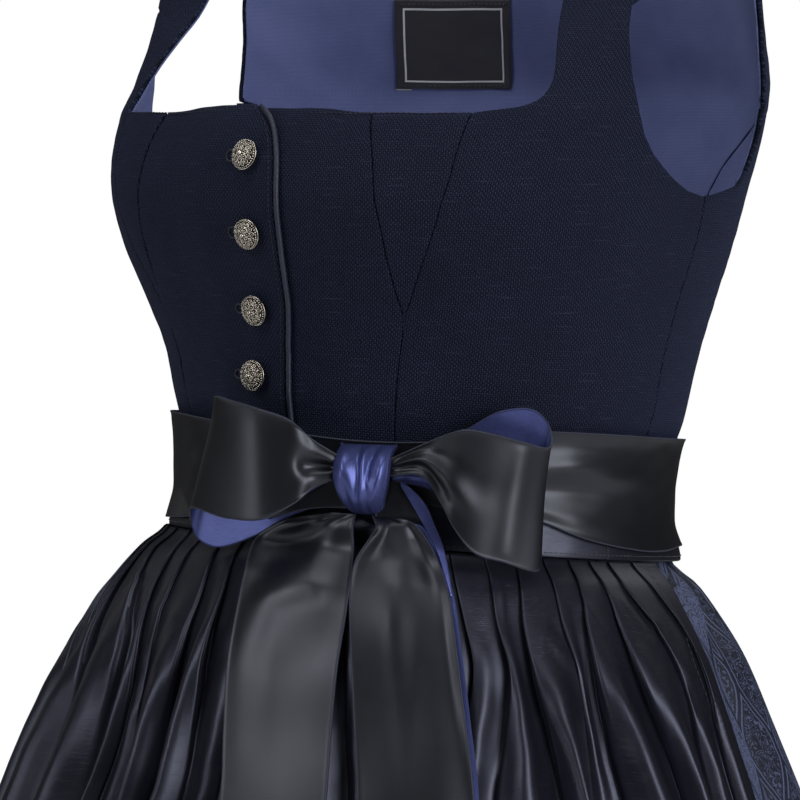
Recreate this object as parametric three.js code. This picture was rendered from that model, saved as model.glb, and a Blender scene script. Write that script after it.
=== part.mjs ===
// A sleeveless dirndl, as worn: a front-buttoned linen bodice with wide straps and a square neckline, a gathered
// patterned skirt, and a pleated apron whose satin ribbon goes round the waist and is tied in a bow at the front.
// Millimetres, +Z up, the front faces -Y and the wearer's left is +X. Shapes are worked out round the waist line
// (height 0) and the whole garment is then hung from the origin, midway between the shoulder seams.
import * as THREE from "three";

// ---------------------------------------------------------------- driving dimensions
const SHOULDER_HEIGHT = 386; // shoulder seams over the waist line
const NECK_HEIGHT = 205; // front neckline over the waist line
const BACK_NECK_HEIGHT = 270;
const WAIST_SEAM = 8; // where bodice and skirt meet, hidden by the apron's band
const SKIRT_DROP = 668; // waist seam to hem
const APRON_DROP = 640;
const WAIST_TILT = 0.1; // the waist line rises to the front: height lost for each millimetre towards the back
const SEAM_GAP = 0.3;
const WALL = { linen: 2, lining: 1, skirt: 1.6, apron: 1.4, band: 1.5, ribbon: 1.2, label: 0.8 };
const BUTTON = { radius: 6.8, rise: 6.4 };
const BUTTON_PLACES = [
  { at: 183, across: 6 },
  { at: 150, across: 7.5 },
  { at: 115, across: 3 },
  { at: 77, across: -1 },
];
const SKIRT_FOLDS = 52;
const APRON_PLEATS = 28;
const APRON_HALF_ANGLE = 97; // degrees of the waist that the apron covers on each side of the front
const BAND_HALF_ANGLE = 140; // and the apron's waistband, under the ribbon
const KNOT_ANGLE = 26; // where the bow sits, degrees from the centre front to the wearer's left

const radians = THREE.MathUtils.degToRad;
const degrees = THREE.MathUtils.radToDeg;
const { lerp, smoothstep } = THREE.MathUtils;

// ---------------------------------------------------------------- tables
/** Reads a table of { at, ...columns } rows as a smooth curve: curve(at) gives every column there. */
function smoothTable(rows) {
  const columns = Object.keys(rows[0]).filter((name) => name !== "at");
  const slope = (name, i) => {
    const a = rows[Math.max(0, i - 1)];
    const b = rows[Math.min(rows.length - 1, i + 1)];
    return (b[name] - a[name]) / (b.at - a.at);
  };
  return (at) => {
    const x = Math.min(Math.max(at, rows[0].at), rows[rows.length - 1].at);
    let i = rows.findIndex((row) => row.at >= x) - 1;
    i = Math.max(0, i);
    const span = rows[i + 1].at - rows[i].at;
    const t = (x - rows[i].at) / span;
    const value = {};
    for (const name of columns) {
      const h00 = (1 + 2 * t) * (1 - t) ** 2;
      const h10 = t * (1 - t) ** 2;
      const h01 = t * t * (3 - 2 * t);
      const h11 = t * t * (t - 1);
      value[name] =
        h00 * rows[i][name] +
        h10 * span * slope(name, i) +
        h01 * rows[i + 1][name] +
        h11 * span * slope(name, i + 1);
    }
    return value;
  };
}

/** Reads a table of { at, value } rows as straight stretches. */
function straightTable(rows) {
  return (at) => {
    const x = Math.min(Math.max(at, rows[0].at), rows[rows.length - 1].at);
    const i = Math.max(0, rows.findIndex((row) => row.at >= x) - 1);
    return lerp(rows[i].value, rows[i + 1].value, (x - rows[i].at) / (rows[i + 1].at - rows[i].at));
  };
}

// Sections of the bodice. at: length up the front from the waist; z: height; the section is two half ovals, half
// as wide as width, reaching front and back from a centre that lies shift behind the waist's own centre. square
// is each half oval's exponent: 2 is an ellipse, more is squarer.
const torso = smoothTable([
  { at: -20, z: -20, width: 120.5, front: 107, back: 104.5, shift: 0, squareFront: 2, squareBack: 2 },
  { at: 0, z: 0, width: 120.5, front: 107, back: 104.5, shift: 0, squareFront: 2, squareBack: 2 },
  { at: 30, z: 30, width: 120, front: 106, back: 104.5, shift: 0, squareFront: 2, squareBack: 2 },
  { at: 52, z: 52, width: 122, front: 107, back: 107.5, shift: 1, squareFront: 2, squareBack: 2 },
  { at: 66, z: 66, width: 126, front: 110, back: 112, shift: 2, squareFront: 2, squareBack: 2 },
  { at: 90, z: 90, width: 130, front: 113, back: 115, shift: 4, squareFront: 2.1, squareBack: 2.05 },
  { at: 115, z: 115, width: 137, front: 119, back: 116, shift: 7, squareFront: 2.3, squareBack: 2.1 },
  { at: 145, z: 145, width: 147, front: 130, back: 114, shift: 10, squareFront: 2.5, squareBack: 2.2 },
  { at: 170, z: 170, width: 154, front: 136, back: 112, shift: 13, squareFront: 2.5, squareBack: 2.25 },
  { at: 200, z: 200, width: 159, front: 131, back: 113, shift: 17, squareFront: 2.4, squareBack: 2.3 },
  { at: 215, z: 215, width: 159.5, front: 116, back: 112, shift: 19, squareFront: 2.5, squareBack: 2.35 },
  { at: 235, z: 235, width: 159.5, front: 90, back: 101, shift: 22, squareFront: 3, squareBack: 2.3 },
  { at: 256, z: 256, width: 159.5, front: 64, back: 90, shift: 24, squareFront: 3.5, squareBack: 2.3 },
  { at: 300, z: 300, width: 159, front: 44, back: 73, shift: 26, squareFront: 3.5, squareBack: 2.4 },
  { at: 340, z: 338, width: 158.5, front: 32, back: 55, shift: 27, squareFront: 3.5, squareBack: 2.5 },
  { at: 370, z: 365, width: 160, front: 23, back: 40, shift: 27, squareFront: 3.5, squareBack: 2.6 },
  { at: 392, z: 380, width: 160, front: 12, back: 22, shift: 27, squareFront: 3.5, squareBack: 2.8 },
  { at: 412, z: 386, width: 160, front: 0, back: 0, shift: 27, squareFront: 3.5, squareBack: 3 },
]);
const STRAP_TOP = 412; // length up the front at the shoulder seam
const STRAP_INNER = 96; // strap's neck edge at the shoulder, from the centre
const SHOULDER_SLOPE = 0.22;

// Seams and edges, degrees round from the centre front at each length up. The garment hangs a little unevenly, so
// the armholes and straps differ from left to right.
const gussetFrontSeam = straightTable([
  { at: 0, value: 31.5 },
  { at: 70, value: 31.3 },
  { at: 95, value: 31 },
  { at: 113, value: 30.2 },
  { at: 125, value: 28 },
  { at: 140, value: 25.9 },
  { at: 165, value: 23.4 },
  { at: 184, value: 22 },
  { at: 205, value: 19.4 },
]);
const gussetBackSeam = straightTable([
  { at: 0, value: 31.5 },
  { at: 70, value: 31.3 },
  { at: 95, value: 31 },
  { at: 113, value: 30.6 },
  { at: 125, value: 31.9 },
  { at: 155, value: 35.7 },
  { at: 174, value: 37.4 },
  { at: 203, value: 38.3 },
]);
const sideSeam = straightTable([
  { at: 0, value: 96.4 },
  { at: 80, value: 96.8 },
  { at: 120, value: 94.6 },
  { at: 145, value: 93.3 },
  { at: 165, value: 91.7 },
]);
const backSeam = {
  left: straightTable([
    { at: 0, value: 158 },
    { at: 80, value: 156.5 },
    { at: 110, value: 155 },
    { at: 140, value: 152 },
    { at: 165, value: 147 },
    { at: 176, value: 143.5 },
    { at: 183, value: 139.5 },
    { at: 190, value: 134 },
    { at: 195, value: 128 },
    { at: 200, value: 121 },
    { at: 204, value: 116 },
    { at: 208, value: 111.6 },
  ]),
  right: straightTable([
    { at: 0, value: 158 },
    { at: 80, value: 156.5 },
    { at: 110, value: 155 },
    { at: 140, value: 152 },
    { at: 165, value: 146.5 },
    { at: 176, value: 141 },
    { at: 183, value: 134 },
    { at: 190, value: 125 },
    { at: 195, value: 117 },
    { at: 200, value: 109 },
    { at: 204, value: 103 },
    { at: 208, value: 97.6 },
  ]),
};
const armholeBackEdge = {
  left: straightTable([
    { at: 165, value: 92.5 },
    { at: 169, value: 104.5 },
    { at: 176, value: 109 },
    { at: 190, value: 112 },
    { at: 208, value: 111 },
    { at: 240, value: 112 },
    { at: 256, value: 111 },
  ]),
  right: straightTable([
    { at: 165, value: 92.5 },
    { at: 169, value: 101 },
    { at: 176, value: 102.5 },
    { at: 190, value: 99.5 },
    { at: 208, value: 97 },
    { at: 240, value: 98.5 },
    { at: 256, value: 98.5 },
  ]),
};
const armholeFrontEdge = straightTable([
  { at: 165, value: 91.5 },
  { at: 168, value: 88.5 },
  { at: 174, value: 84.5 },
  { at: 184, value: 79 },
  { at: 193, value: 75.4 },
  { at: 211, value: 70.8 },
  { at: 228, value: 66.2 },
  { at: 252, value: 57 },
]);
// Distances from the centre, where an edge is set by a width rather than by an angle.
const neckEdge = smoothTable([
  { at: 203, left: 105, right: 105 },
  { at: 205, left: 119, right: 107 },
  { at: 207, left: 125, right: 108 },
  { at: 211, left: 128.5, right: 108.5 },
  { at: 220, left: 129, right: 108.5 },
  { at: 234, left: 124, right: 108.5 },
  { at: 256, left: 113, right: 109 },
  { at: 300, left: 104, right: 103 },
  { at: 350, left: 99, right: 98 },
  { at: STRAP_TOP, left: STRAP_INNER, right: STRAP_INNER },
]);
const strapOuterFront = smoothTable([
  { at: 252, left: 147, right: 155 },
  { at: 300, left: 149, right: 156 },
  { at: 350, left: 150, right: 153 },
  { at: STRAP_TOP, left: 150, right: 150 },
]);
const strapOuterBack = smoothTable([
  { at: 256, left: 150.5, right: 158 },
  { at: 300, left: 150.5, right: 156 },
  { at: 350, left: 150, right: 152 },
  { at: STRAP_TOP, left: 150, right: 150 },
]);
const backNeckEdge = smoothTable([
  { at: BACK_NECK_HEIGHT, x: 90 },
  { at: BACK_NECK_HEIGHT + 2, x: 99 },
  { at: BACK_NECK_HEIGHT + 6, x: 105 },
  { at: BACK_NECK_HEIGHT + 14, x: 108 },
  { at: 300, x: 107 },
  { at: 350, x: 100 },
  { at: STRAP_TOP, x: STRAP_INNER },
]);
// The lapping front edge, from the neckline round its corner and down to the waist.
const lapEdge = smoothTable([
  { at: 0, x: 14 },
  { at: 90, x: 16 },
  { at: 125, x: 20 },
  { at: 160, x: 22.5 },
  { at: 178, x: 21.5 },
  { at: 191, x: 17.5 },
  { at: 199, x: 11 },
  { at: NECK_HEIGHT, x: 0 },
]);
const UNDERLAP = -15; // hidden edge of the lower front

// ---------------------------------------------------------------- the body surface
const signedPower = (base, exponent) => Math.sign(base) * Math.abs(base) ** exponent;

/** A point of the bodice's outer face, angle degrees round from the centre front, at a length up from the waist. */
function bodicePoint(angle, at, offset = 0) {
  const section = torso(at);
  const sine = Math.sin(radians(angle));
  const cosine = Math.cos(radians(angle));
  const front = cosine > 0;
  const exponent = 2 / (front ? section.squareFront : section.squareBack);
  const reach = (front ? section.front : section.back) + offset;
  const x = (section.width + offset) * signedPower(sine, exponent);
  const y = section.shift - reach * signedPower(cosine, exponent);
  const shoulder = SHOULDER_SLOPE * (Math.abs(x) - STRAP_INNER) * smoothstep(at, 300, STRAP_TOP);
  const tilt = WAIST_TILT * y * (1 - smoothstep(at, 55, 125));
  return new THREE.Vector3(x, y, section.z - shoulder - tilt);
}

/** The angle at which the bodice lies a distance x from its centre, on the front half or the back half. */
function angleAt(x, at, half = "front") {
  const section = torso(at);
  const square = half === "front" ? section.squareFront : section.squareBack;
  const sine = signedPower(Math.min(1, Math.abs(x) / section.width), square / 2);
  const angle = Math.sign(x) * degrees(Math.asin(sine));
  return half === "front" ? angle : 180 - angle;
}

/** The outward normal of a surface(u, v) whose u runs round to the wearer's left and whose v runs up. */
function normalOf(surface, u, v, step = 0.6) {
  const along = surface(u + step, v).sub(surface(u - step, v));
  const up = surface(u, v + step).sub(surface(u, v - step));
  return along.cross(up).normalize();
}

// ---------------------------------------------------------------- cloth walls
/** Collects grids of outer and inner points that share edges, and closes them into one wall. */
class ClothWall {
  constructor() {
    this.outer = [];
    this.inner = [];
    this.quads = [];
    this.known = new Map();
  }
  vertex(outer, inner) {
    const key = [outer.x, outer.y, outer.z].map((value) => Math.round(value * 1000) + 0).join();
    if (!this.known.has(key)) {
      this.known.set(key, this.outer.length);
      this.outer.push(outer);
      this.inner.push(inner);
    }
    return this.known.get(key);
  }
  /** rows of { outer, inner }, the first row lowest, each row running to the wearer's left. */
  addGrid(rows) {
    const index = rows.map((row) => row.map((point) => this.vertex(point.outer, point.inner)));
    for (let i = 0; i + 1 < index.length; i++)
      for (let j = 0; j + 1 < index[i].length; j++)
        this.quads.push([index[i][j], index[i][j + 1], index[i + 1][j + 1], index[i + 1][j]]);
    return this;
  }
  geometry() {
    const count = this.outer.length;
    const faces = [];
    const edges = new Map();
    for (const [a, b, c, d] of this.quads) {
      faces.push([a, b, c], [a, c, d]);
      faces.push([count + c, count + b, count + a], [count + d, count + c, count + a]);
      for (const [from, to] of [[a, b], [b, c], [c, d], [d, a]]) {
        if (edges.has(to + "_" + from)) edges.delete(to + "_" + from);
        else edges.set(from + "_" + to, [from, to]);
      }
    }
    for (const [from, to] of edges.values())
      faces.push([to, from, count + from], [to, count + from, count + to]);
    const geometry = new THREE.BufferGeometry().setFromPoints([...this.outer, ...this.inner]);
    geometry.setIndex(faces.flat());
    geometry.computeVertexNormals();
    return geometry;
  }
}

const group = new THREE.Group();
const garment = new THREE.Group(); // everything is shaped round the waist line, then hung from the shoulders
garment.position.z = -SHOULDER_HEIGHT;
group.add(garment);

function addPiece(name, geometry, colour, roughness, metalness = 0) {
  const material = new THREE.MeshStandardMaterial({ color: colour, roughness, metalness });
  const mesh = new THREE.Mesh(geometry, material);
  mesh.name = name;
  garment.add(mesh);
}

const COLOUR = {
  linen: 0x141a2c,
  lining: 0x3a4468,
  satin: 0x1c1d22,
  navySatin: 0x2a3368,
  apron: 0x15151f,
  skirt: 0x39466b,
  label: 0x101012,
  silver: 0xb8ad98,
};

/** Turns rows of points x -> -x, keeping them running to the wearer's left. The front of the right strap stands a
 *  little wider above the armhole. */
const RIGHT_STRAP_EASE = 10;
function mirrored(rows) {
  const ease = ({ x, y, z }) =>
    RIGHT_STRAP_EASE *
    smoothstep(x, 100, 150) *
    (1 - smoothstep(y, -10, 20)) *
    smoothstep(z, 226, 266) *
    (1 - smoothstep(z, 320, 380));
  const flip = (point) => new THREE.Vector3(-point.x - ease(point), point.y, point.z);
  return rows.map((row) => row.map(({ outer, inner }) => ({ outer: flip(outer), inner: flip(inner) })).reverse());
}

// ---------------------------------------------------------------- bodice panels
const EDGE = SEAM_GAP / 2;
const STEEPEST = 6;

/** How many degrees to hold an edge back so that it stays a margin away, square to the edge. */
function trimOf(edge, at, margin) {
  const { width } = torso(at);
  const slope = (width * radians(edge(at + 0.5) - edge(at - 0.5))) / 1;
  return degrees((margin / width) * Math.hypot(1, Math.min(Math.abs(slope), STEEPEST)));
}

/** The outward normal of the bodice; it stands straight up along the shoulder seam. */
function bodiceNormal(angle, at) {
  const up = new THREE.Vector3(0, 0, 1);
  return normalOf(bodicePoint, angle, Math.min(at, STRAP_TOP - 2)).lerp(up, smoothstep(at, 385, STRAP_TOP)).normalize();
}

/** Rows of a bodice panel between two edges, each an angle as a function of the length up. lift(angle, at) is how
 *  far the cloth is raised. */
function panelRows({ heights, from, to, columns, margins = [EDGE, EDGE], lift = () => 0 }) {
  return heights.map((at) => {
    const start = from(at) + trimOf(from, at, margins[0]);
    const end = Math.max(to(at) - trimOf(to, at, margins[1]), start + 0.1);
    return Array.from({ length: columns + 1 }, (_, j) => {
      const angle = lerp(start, end, j / columns);
      const normal = bodiceNormal(angle, at);
      const outer = bodicePoint(angle, at).addScaledVector(normal, lift(angle, at));
      return { outer, inner: outer.clone().addScaledVector(normal, -WALL.linen) };
    });
  });
}

const span = (from, to, steps) => Array.from({ length: steps + 1 }, (_, i) => lerp(from, to, i / steps));
const HEM_AT = WAIST_SEAM; // lowest length of every bodice panel
const LOW_HEIGHTS = [HEM_AT, 30, 50, 70, 95, 113];
const BUST_HEIGHTS = [125, 140, 155, 165];
const CENTRE_HEIGHTS = [...LOW_HEIGHTS, ...BUST_HEIGHTS, 174, 184, 193, 199, 203, NECK_HEIGHT];
const GUSSET_HEIGHTS = [113, ...BUST_HEIGHTS, 174, 184, 193, 203];
const SIDE_FRONT_HEIGHTS = [...LOW_HEIGHTS, ...BUST_HEIGHTS, 168, 174, 184, 193, 203, NECK_HEIGHT, 207, 211, 220, 234, 252];
const SIDE_BACK_HEIGHTS = [HEM_AT, 30, 50, 80, 110, 140, 165, 169, 176, 183, 190, 195, 200, 204, 207];
const BACK_HEIGHTS = [HEM_AT, 30, 50, 80, 110, 140, 165, 169, 176, 183, 190, 195, 200, 204, 208, 222, 240, 256, BACK_NECK_HEIGHT];
const STRAP_HEIGHTS = span(252, STRAP_TOP, 7);
const BACK_STRAP_HEIGHTS = [0, 2, 6, 14].map((rise) => BACK_NECK_HEIGHT + rise).concat(span(310, STRAP_TOP, 5));

// The lapping front's outer face rises over the lower front.
const LAP_RISE = WALL.linen + SEAM_GAP + 0.2;
function lapLift(angle, at) {
  return LAP_RISE * smoothstep(bodicePoint(angle, at).x, -48, -17);
}

/** Moves a panel's last row, at the shoulder seam, clear of the seam. */
function openShoulder(rows, away) {
  for (const point of rows[rows.length - 1]) {
    for (const side of ["outer", "inner"]) point[side] = point[side].clone().add(new THREE.Vector3(0, away, 0));
  }
}

function clothPiece(name, colour, roughness, ...grids) {
  const wall = new ClothWall();
  grids.forEach((rows) => wall.addGrid(rows));
  addPiece(name, wall.geometry(), colour, roughness);
}
const linen = (name, ...grids) => clothPiece(name, COLOUR.linen, 0.85, ...grids);

/** Outer edge of the back panel: the back seam up to the armhole, then the armhole to the shoulder. */
function backOuterEdge(side, at) {
  if (at <= 208) return backSeam[side](at);
  if (at <= 256) return armholeBackEdge[side](at);
  return angleAt(strapOuterBack(at)[side], at, "back");
}
const backStrapInner = (at) => angleAt(backNeckEdge(at).x, at, "back");

/** Every panel of one half of the bodice, on the wearer's left, with the edges of the side that is asked for. */
function makePanels(side) {
  const neckInner = (at) => angleAt(neckEdge(at)[side], at);
  const armholeBack = armholeBackEdge[side];
  const backOuterOf = (at) => backOuterEdge(side, at);
  const backCorner = (at) => (at >= 230 ? backStrapInner(BACK_NECK_HEIGHT) : lerp(backOuterOf(at), 180, 0.55));
  const gusset = panelRows({ heights: GUSSET_HEIGHTS, from: gussetFrontSeam, to: gussetBackSeam, columns: 2 });
  const sideFront = panelRows({
    heights: SIDE_FRONT_HEIGHTS,
    from: (at) => (at <= 203.5 ? gussetBackSeam(at) : neckInner(at)),
    to: (at) => (at <= 165 ? sideSeam(at) : armholeFrontEdge(at)),
    columns: 6,
  });
  const frontStrap = panelRows({
    heights: STRAP_HEIGHTS,
    from: neckInner,
    to: (at) => angleAt(strapOuterFront(at)[side], at),
    columns: 6,
  });
  // A panel and its strap are one piece of cloth, so the strap starts on the panel's own last row.
  frontStrap[0] = sideFront[sideFront.length - 1];
  openShoulder(frontStrap, -EDGE);
  const sideBack = panelRows({
    heights: SIDE_BACK_HEIGHTS,
    from: (at) => (at <= 165 ? sideSeam(at) : armholeBack(at)),
    to: backSeam[side],
    columns: 4,
  });
  const backOuter = panelRows({
    heights: BACK_HEIGHTS,
    from: backOuterOf,
    to: backCorner,
    columns: 3,
    margins: [EDGE, 0],
  });
  const backInner = panelRows({ heights: BACK_HEIGHTS, from: backCorner, to: () => 180, columns: 2, margins: [0, 0] });
  const back = backOuter.map((row, i) => {
    const middle = backInner[i].slice(1);
    for (const face of ["outer", "inner"]) middle[middle.length - 1][face].x = 0;
    return [...row, ...middle];
  });
  const backStrap = panelRows({
    heights: BACK_STRAP_HEIGHTS,
    from: backOuterOf,
    to: backStrapInner,
    columns: 3,
    margins: [EDGE, 0],
  });
  backStrap[0] = backOuter[backOuter.length - 1];
  openShoulder(backStrap, EDGE);
  return { gusset, sideFront, frontStrap, sideBack, back, backStrap };
}
const leftPanels = makePanels("left");
const rightPanels = makePanels("right");
const underFront = panelRows({
  heights: CENTRE_HEIGHTS,
  from: (at) => angleAt(UNDERLAP, at),
  to: gussetFrontSeam,
  columns: 6,
});
const lapFront = panelRows({
  heights: CENTRE_HEIGHTS,
  from: (at) => -gussetFrontSeam(at),
  to: (at) => angleAt(lapEdge(at).x, at),
  columns: 8,
  lift: lapLift,
});

function addBodice() {
  const left = leftPanels;
  const right = Object.fromEntries(Object.entries(rightPanels).map(([name, rows]) => [name, mirrored(rows)]));
  linen("front_left_centre", underFront);
  linen("front_right_centre", lapFront);
  linen("front_left_gusset", left.gusset);
  linen("front_right_gusset", right.gusset);
  linen("front_left_side", left.sideFront, left.frontStrap);
  linen("front_right_side", right.sideFront, right.frontStrap);
  linen("back_left_side", left.sideBack);
  linen("back_right_side", right.sideBack);
  linen("back_centre", left.back, right.back, left.backStrap, right.backStrap);
}

// ---------------------------------------------------------------- lining, label, piping and buttons
const LINING_MARGIN = 1.6; // the lining stops short of the linen's open edges
const LINING_GAP = 0.6;

/** The point of a wall that lies under another one, a gap away. */
function under(point, gap, wall) {
  const inward = point.inner.clone().sub(point.outer).normalize();
  const outer = point.inner.clone().addScaledVector(inward, gap);
  return { outer, inner: outer.clone().addScaledVector(inward, wall) };
}

/** A point moved a distance towards a neighbour. */
function towards(point, neighbour, distance) {
  const share = Math.min(0.9, distance / point.outer.distanceTo(neighbour.outer));
  return { outer: point.outer.clone().lerp(neighbour.outer, share), inner: point.inner.clone().lerp(neighbour.inner, share) };
}

/** Lining rows under some columns of a panel. trimmed names the open edges: "first" or "last" column, "top" row. */
function liningUnder(rows, columns, trimmed = []) {
  const grid = rows.map((row) => columns.map((j) => under(row[j], LINING_GAP, WALL.lining)));
  const end = columns.length - 1;
  if (trimmed.includes("first")) grid.forEach((row) => (row[0] = towards(row[0], row[1], LINING_MARGIN)));
  if (trimmed.includes("last")) grid.forEach((row) => (row[end] = towards(row[end], row[end - 1], LINING_MARGIN)));
  if (trimmed.includes("top")) {
    const top = grid.length - 1;
    grid[top] = grid[top].map((point, j) => towards(point, grid[top - 1][j], LINING_MARGIN));
  }
  return grid;
}

function makeLinings({ sideFront, frontStrap, sideBack, back, backStrap }) {
  const neckRow = SIDE_FRONT_HEIGHTS.indexOf(NECK_HEIGHT);
  // Below the neckline the lining runs from behind the button edge to the side; above it, it follows the strap.
  const extra = SIDE_FRONT_HEIGHTS.indexOf(168);
  const lowSide = sideFront.slice(0, neckRow).filter((_, i) => i !== extra);
  const lowCentre = underFront.filter((_, i) => CENTRE_HEIGHTS[i] < NECK_HEIGHT && CENTRE_HEIGHTS[i] !== 199);
  const centre = liningUnder(lowCentre, [2, 4, 6]);
  const side = liningUnder(lowSide, [0, 2, 4, 6], ["last"]);
  const low = centre.map((row, i) => [...row.slice(0, -1), ...side[i]]);
  const top = low.length - 1;
  low[top] = low[top].map((point, j) => towards(point, low[top - 1][j], LINING_MARGIN - 0.6));
  const high = liningUnder([...sideFront.slice(neckRow + 1), ...frontStrap.slice(1)], [0, 3, 6], ["first", "last", "top"]);
  // The strap's lining starts on the body lining's own top row, between the gusset seam and the armhole.
  high.unshift(low[top].slice(3));

  const sideLining = liningUnder(sideBack.slice(0, -1), [0, 2], ["first"]);
  const backLining = liningUnder(back, [0, 2, 3, 5]);
  const shared = SIDE_BACK_HEIGHTS.slice(0, -1).filter((at) => BACK_HEIGHTS.includes(at));
  const sideGrid = shared.map((at) => [
    ...sideLining[SIDE_BACK_HEIGHTS.indexOf(at)],
    backLining[BACK_HEIGHTS.indexOf(at)][0],
  ]);
  const backTop = backLining.length - 1;
  const strapLining = liningUnder(backStrap, [0, 2, 3], ["first", "last", "top"]);
  for (let i = BACK_HEIGHTS.indexOf(208); i <= backTop; i++)
    backLining[i][0] = towards(backLining[i][0], backLining[i][1], LINING_MARGIN);
  strapLining[0] = backLining[backTop].slice(0, 3);
  return { low, high, sideGrid, backLining, strapLining };
}
const leftLinings = makeLinings(leftPanels);
const rightLinings = makeLinings(rightPanels);

function addLining() {
  const lining = (name, ...grids) => clothPiece(name, COLOUR.lining, 0.8, ...grids);
  const backHalf = ({ sideGrid, backLining, strapLining }) => [sideGrid, backLining, strapLining];
  lining("lining_front_left", leftLinings.low, leftLinings.high);
  lining("lining_front_right", mirrored(rightLinings.low), mirrored(rightLinings.high));
  lining("lining_back", ...backHalf(leftLinings), ...backHalf(rightLinings).map(mirrored));
}

// The neck label lies on the right half of the back lining: its side edges from the centre back, at lengths up.
const LABEL = { bottom: 214, top: 257 };
const LABEL_LOW = { inner: -51.5, outer: -110 };
const LABEL_HIGH = { inner: -37, outer: -101 };

function addLabel() {
  const rows = mirrored(rightLinings.backLining).map((row) => row.map((point) => under(point, SEAM_GAP, WALL.label)));
  /** The point at a distance x from the centre, on a row part of the way between two rows of the lining. */
  const at = (x, low, high, share) => {
    const blend = (j) => ({
      outer: low[j].outer.clone().lerp(high[j].outer, share),
      inner: low[j].inner.clone().lerp(high[j].inner, share),
    });
    const row = low.map((_, j) => blend(j));
    const j = row.findIndex((point, k) => k + 1 < row.length && Math.min(point.outer.x, row[k + 1].outer.x) <= x && x <= Math.max(point.outer.x, row[k + 1].outer.x));
    const part = (x - row[j].outer.x) / (row[j + 1].outer.x - row[j].outer.x);
    return { outer: row[j].outer.clone().lerp(row[j + 1].outer, part), inner: row[j].inner.clone().lerp(row[j + 1].inner, part) };
  };
  const heights = [LABEL.bottom, 222, 240, LABEL.top - 2];
  const grid = heights.map((height) => {
    let i = BACK_HEIGHTS.findIndex((value) => value > height) - 1;
    i = Math.min(Math.max(i, 0), rows.length - 2);
    const share = (height - BACK_HEIGHTS[i]) / (BACK_HEIGHTS[i + 1] - BACK_HEIGHTS[i]);
    const fold = lerp(rows[i].at(-3).outer.x, rows[i + 1].at(-3).outer.x, share);
    const up = (height - LABEL.bottom) / (LABEL.top - LABEL.bottom);
    const inner = lerp(LABEL_LOW.inner, LABEL_HIGH.inner, up);
    const outer = lerp(LABEL_LOW.outer, LABEL_HIGH.outer, up);
    const xs = [inner, fold, outer].filter((x) => x <= inner && x >= outer);
    return [...new Set(xs)].sort((a, b) => b - a).map((x) => at(x, rows[i], rows[i + 1], share));
  });
  addPiece("label", new ClothWall().addGrid(grid).geometry(), COLOUR.label, 0.6);
}

const PIPING_RADIUS = 1.5;

function addPiping() {
  const heights = [NECK_HEIGHT, 203.5, 201, 197, 191, 184, 175, 160, 140, 120, 95, 70, 50, 30, HEM_AT + 4];
  const points = heights.map((at) => {
    const edge = lapEdge(at).x;
    const angle = angleAt(edge, at);
    const ahead = lapEdge(at - 1).x - edge;
    const outward = new THREE.Vector3(1, 0, ahead).normalize(); // square to the edge, away from the cloth
    return bodicePoint(angle, at)
      .addScaledVector(outward, PIPING_RADIUS + SEAM_GAP)
      .addScaledVector(bodiceNormal(angle, at), lapLift(angle, at) - WALL.linen + PIPING_RADIUS + 0.1);
  });
  const sides = 6;
  const outline = Array.from({ length: sides }, (_, i) => {
    const turn = (2 * Math.PI * i) / sides;
    return new THREE.Vector2(PIPING_RADIUS * Math.cos(turn), PIPING_RADIUS * Math.sin(turn));
  });
  const options = { steps: 20, bevelEnabled: false, extrudePath: new THREE.CatmullRomCurve3(points) };
  const geometry = new THREE.ExtrudeGeometry(new THREE.Shape(outline), options);
  addPiece("front_edge_piping", geometry, COLOUR.navySatin, 0.5);
}

function addButtons() {
  const { radius, rise } = BUTTON;
  const profile = [
    [0, 0],
    [radius * 0.6, 0],
    [radius * 0.62, 1.6],
    [radius, 2.4],
    [radius * 0.9, rise * 0.7],
    [radius * 0.5, rise * 0.95],
    [0, rise],
  ].map(([out, up]) => new THREE.Vector2(out, up));
  BUTTON_PLACES.forEach(({ at, across }, i) => {
    const angle = angleAt(across, at);
    const normal = bodiceNormal(angle, at);
    const dome = new THREE.LatheGeometry(profile, 12);
    dome.applyQuaternion(new THREE.Quaternion().setFromUnitVectors(new THREE.Vector3(0, 1, 0), normal));
    dome.translate(...bodicePoint(angle, at).addScaledVector(normal, LAP_RISE + SEAM_GAP).toArray());
    addPiece(`button_${i + 1}`, dome, COLOUR.silver, 0.35, 1);
  });
}

// ---------------------------------------------------------------- skirt and apron
const BAND = { bottom: 1.2, top: 46 }; // the apron's waistband, lengths up from the waist
// reach is the mean half-breadth of the skirt at each drop under the waist seam.
const skirtProfile = smoothTable([
  { at: 0, reach: 113, fold: 1.2 },
  { at: 9, reach: 115, fold: 1.6 },
  { at: 17, reach: 123, fold: 2.6 },
  { at: 31, reach: 132, fold: 3.4 },
  { at: 51, reach: 143, fold: 4 },
  { at: 80, reach: 154.5, fold: 4.6 },
  { at: 120, reach: 170, fold: 5.2 },
  { at: 200, reach: 199, fold: 6 },
  { at: 320, reach: 240, fold: 7 },
  { at: 450, reach: 283, fold: 8 },
  { at: 570, reach: 320, fold: 9 },
  { at: SKIRT_DROP, reach: 347, fold: 10 },
]);
// lift is how far the apron stands off the skirt's mean face, pleat how far its pleats rise.
const apronProfile = smoothTable([
  { at: 0, lift: 2, pleat: 1.2 },
  { at: 9, lift: 6.2, pleat: 2.4 },
  { at: 17, lift: 7.5, pleat: 3.2 },
  { at: 36, lift: 10, pleat: 4.4 },
  { at: 80, lift: 13.5, pleat: 6 },
  { at: 130, lift: 15, pleat: 7 },
  { at: 300, lift: 16, pleat: 8.5 },
  { at: APRON_DROP, lift: 18, pleat: 10 },
]);
const WIDE = 1.068; // the oval's half-width and half-depth over its mean reach
const DEEP = 0.949;
const APRON_EASE = 12; // degrees over which the apron's side edges come down onto the skirt

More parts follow.
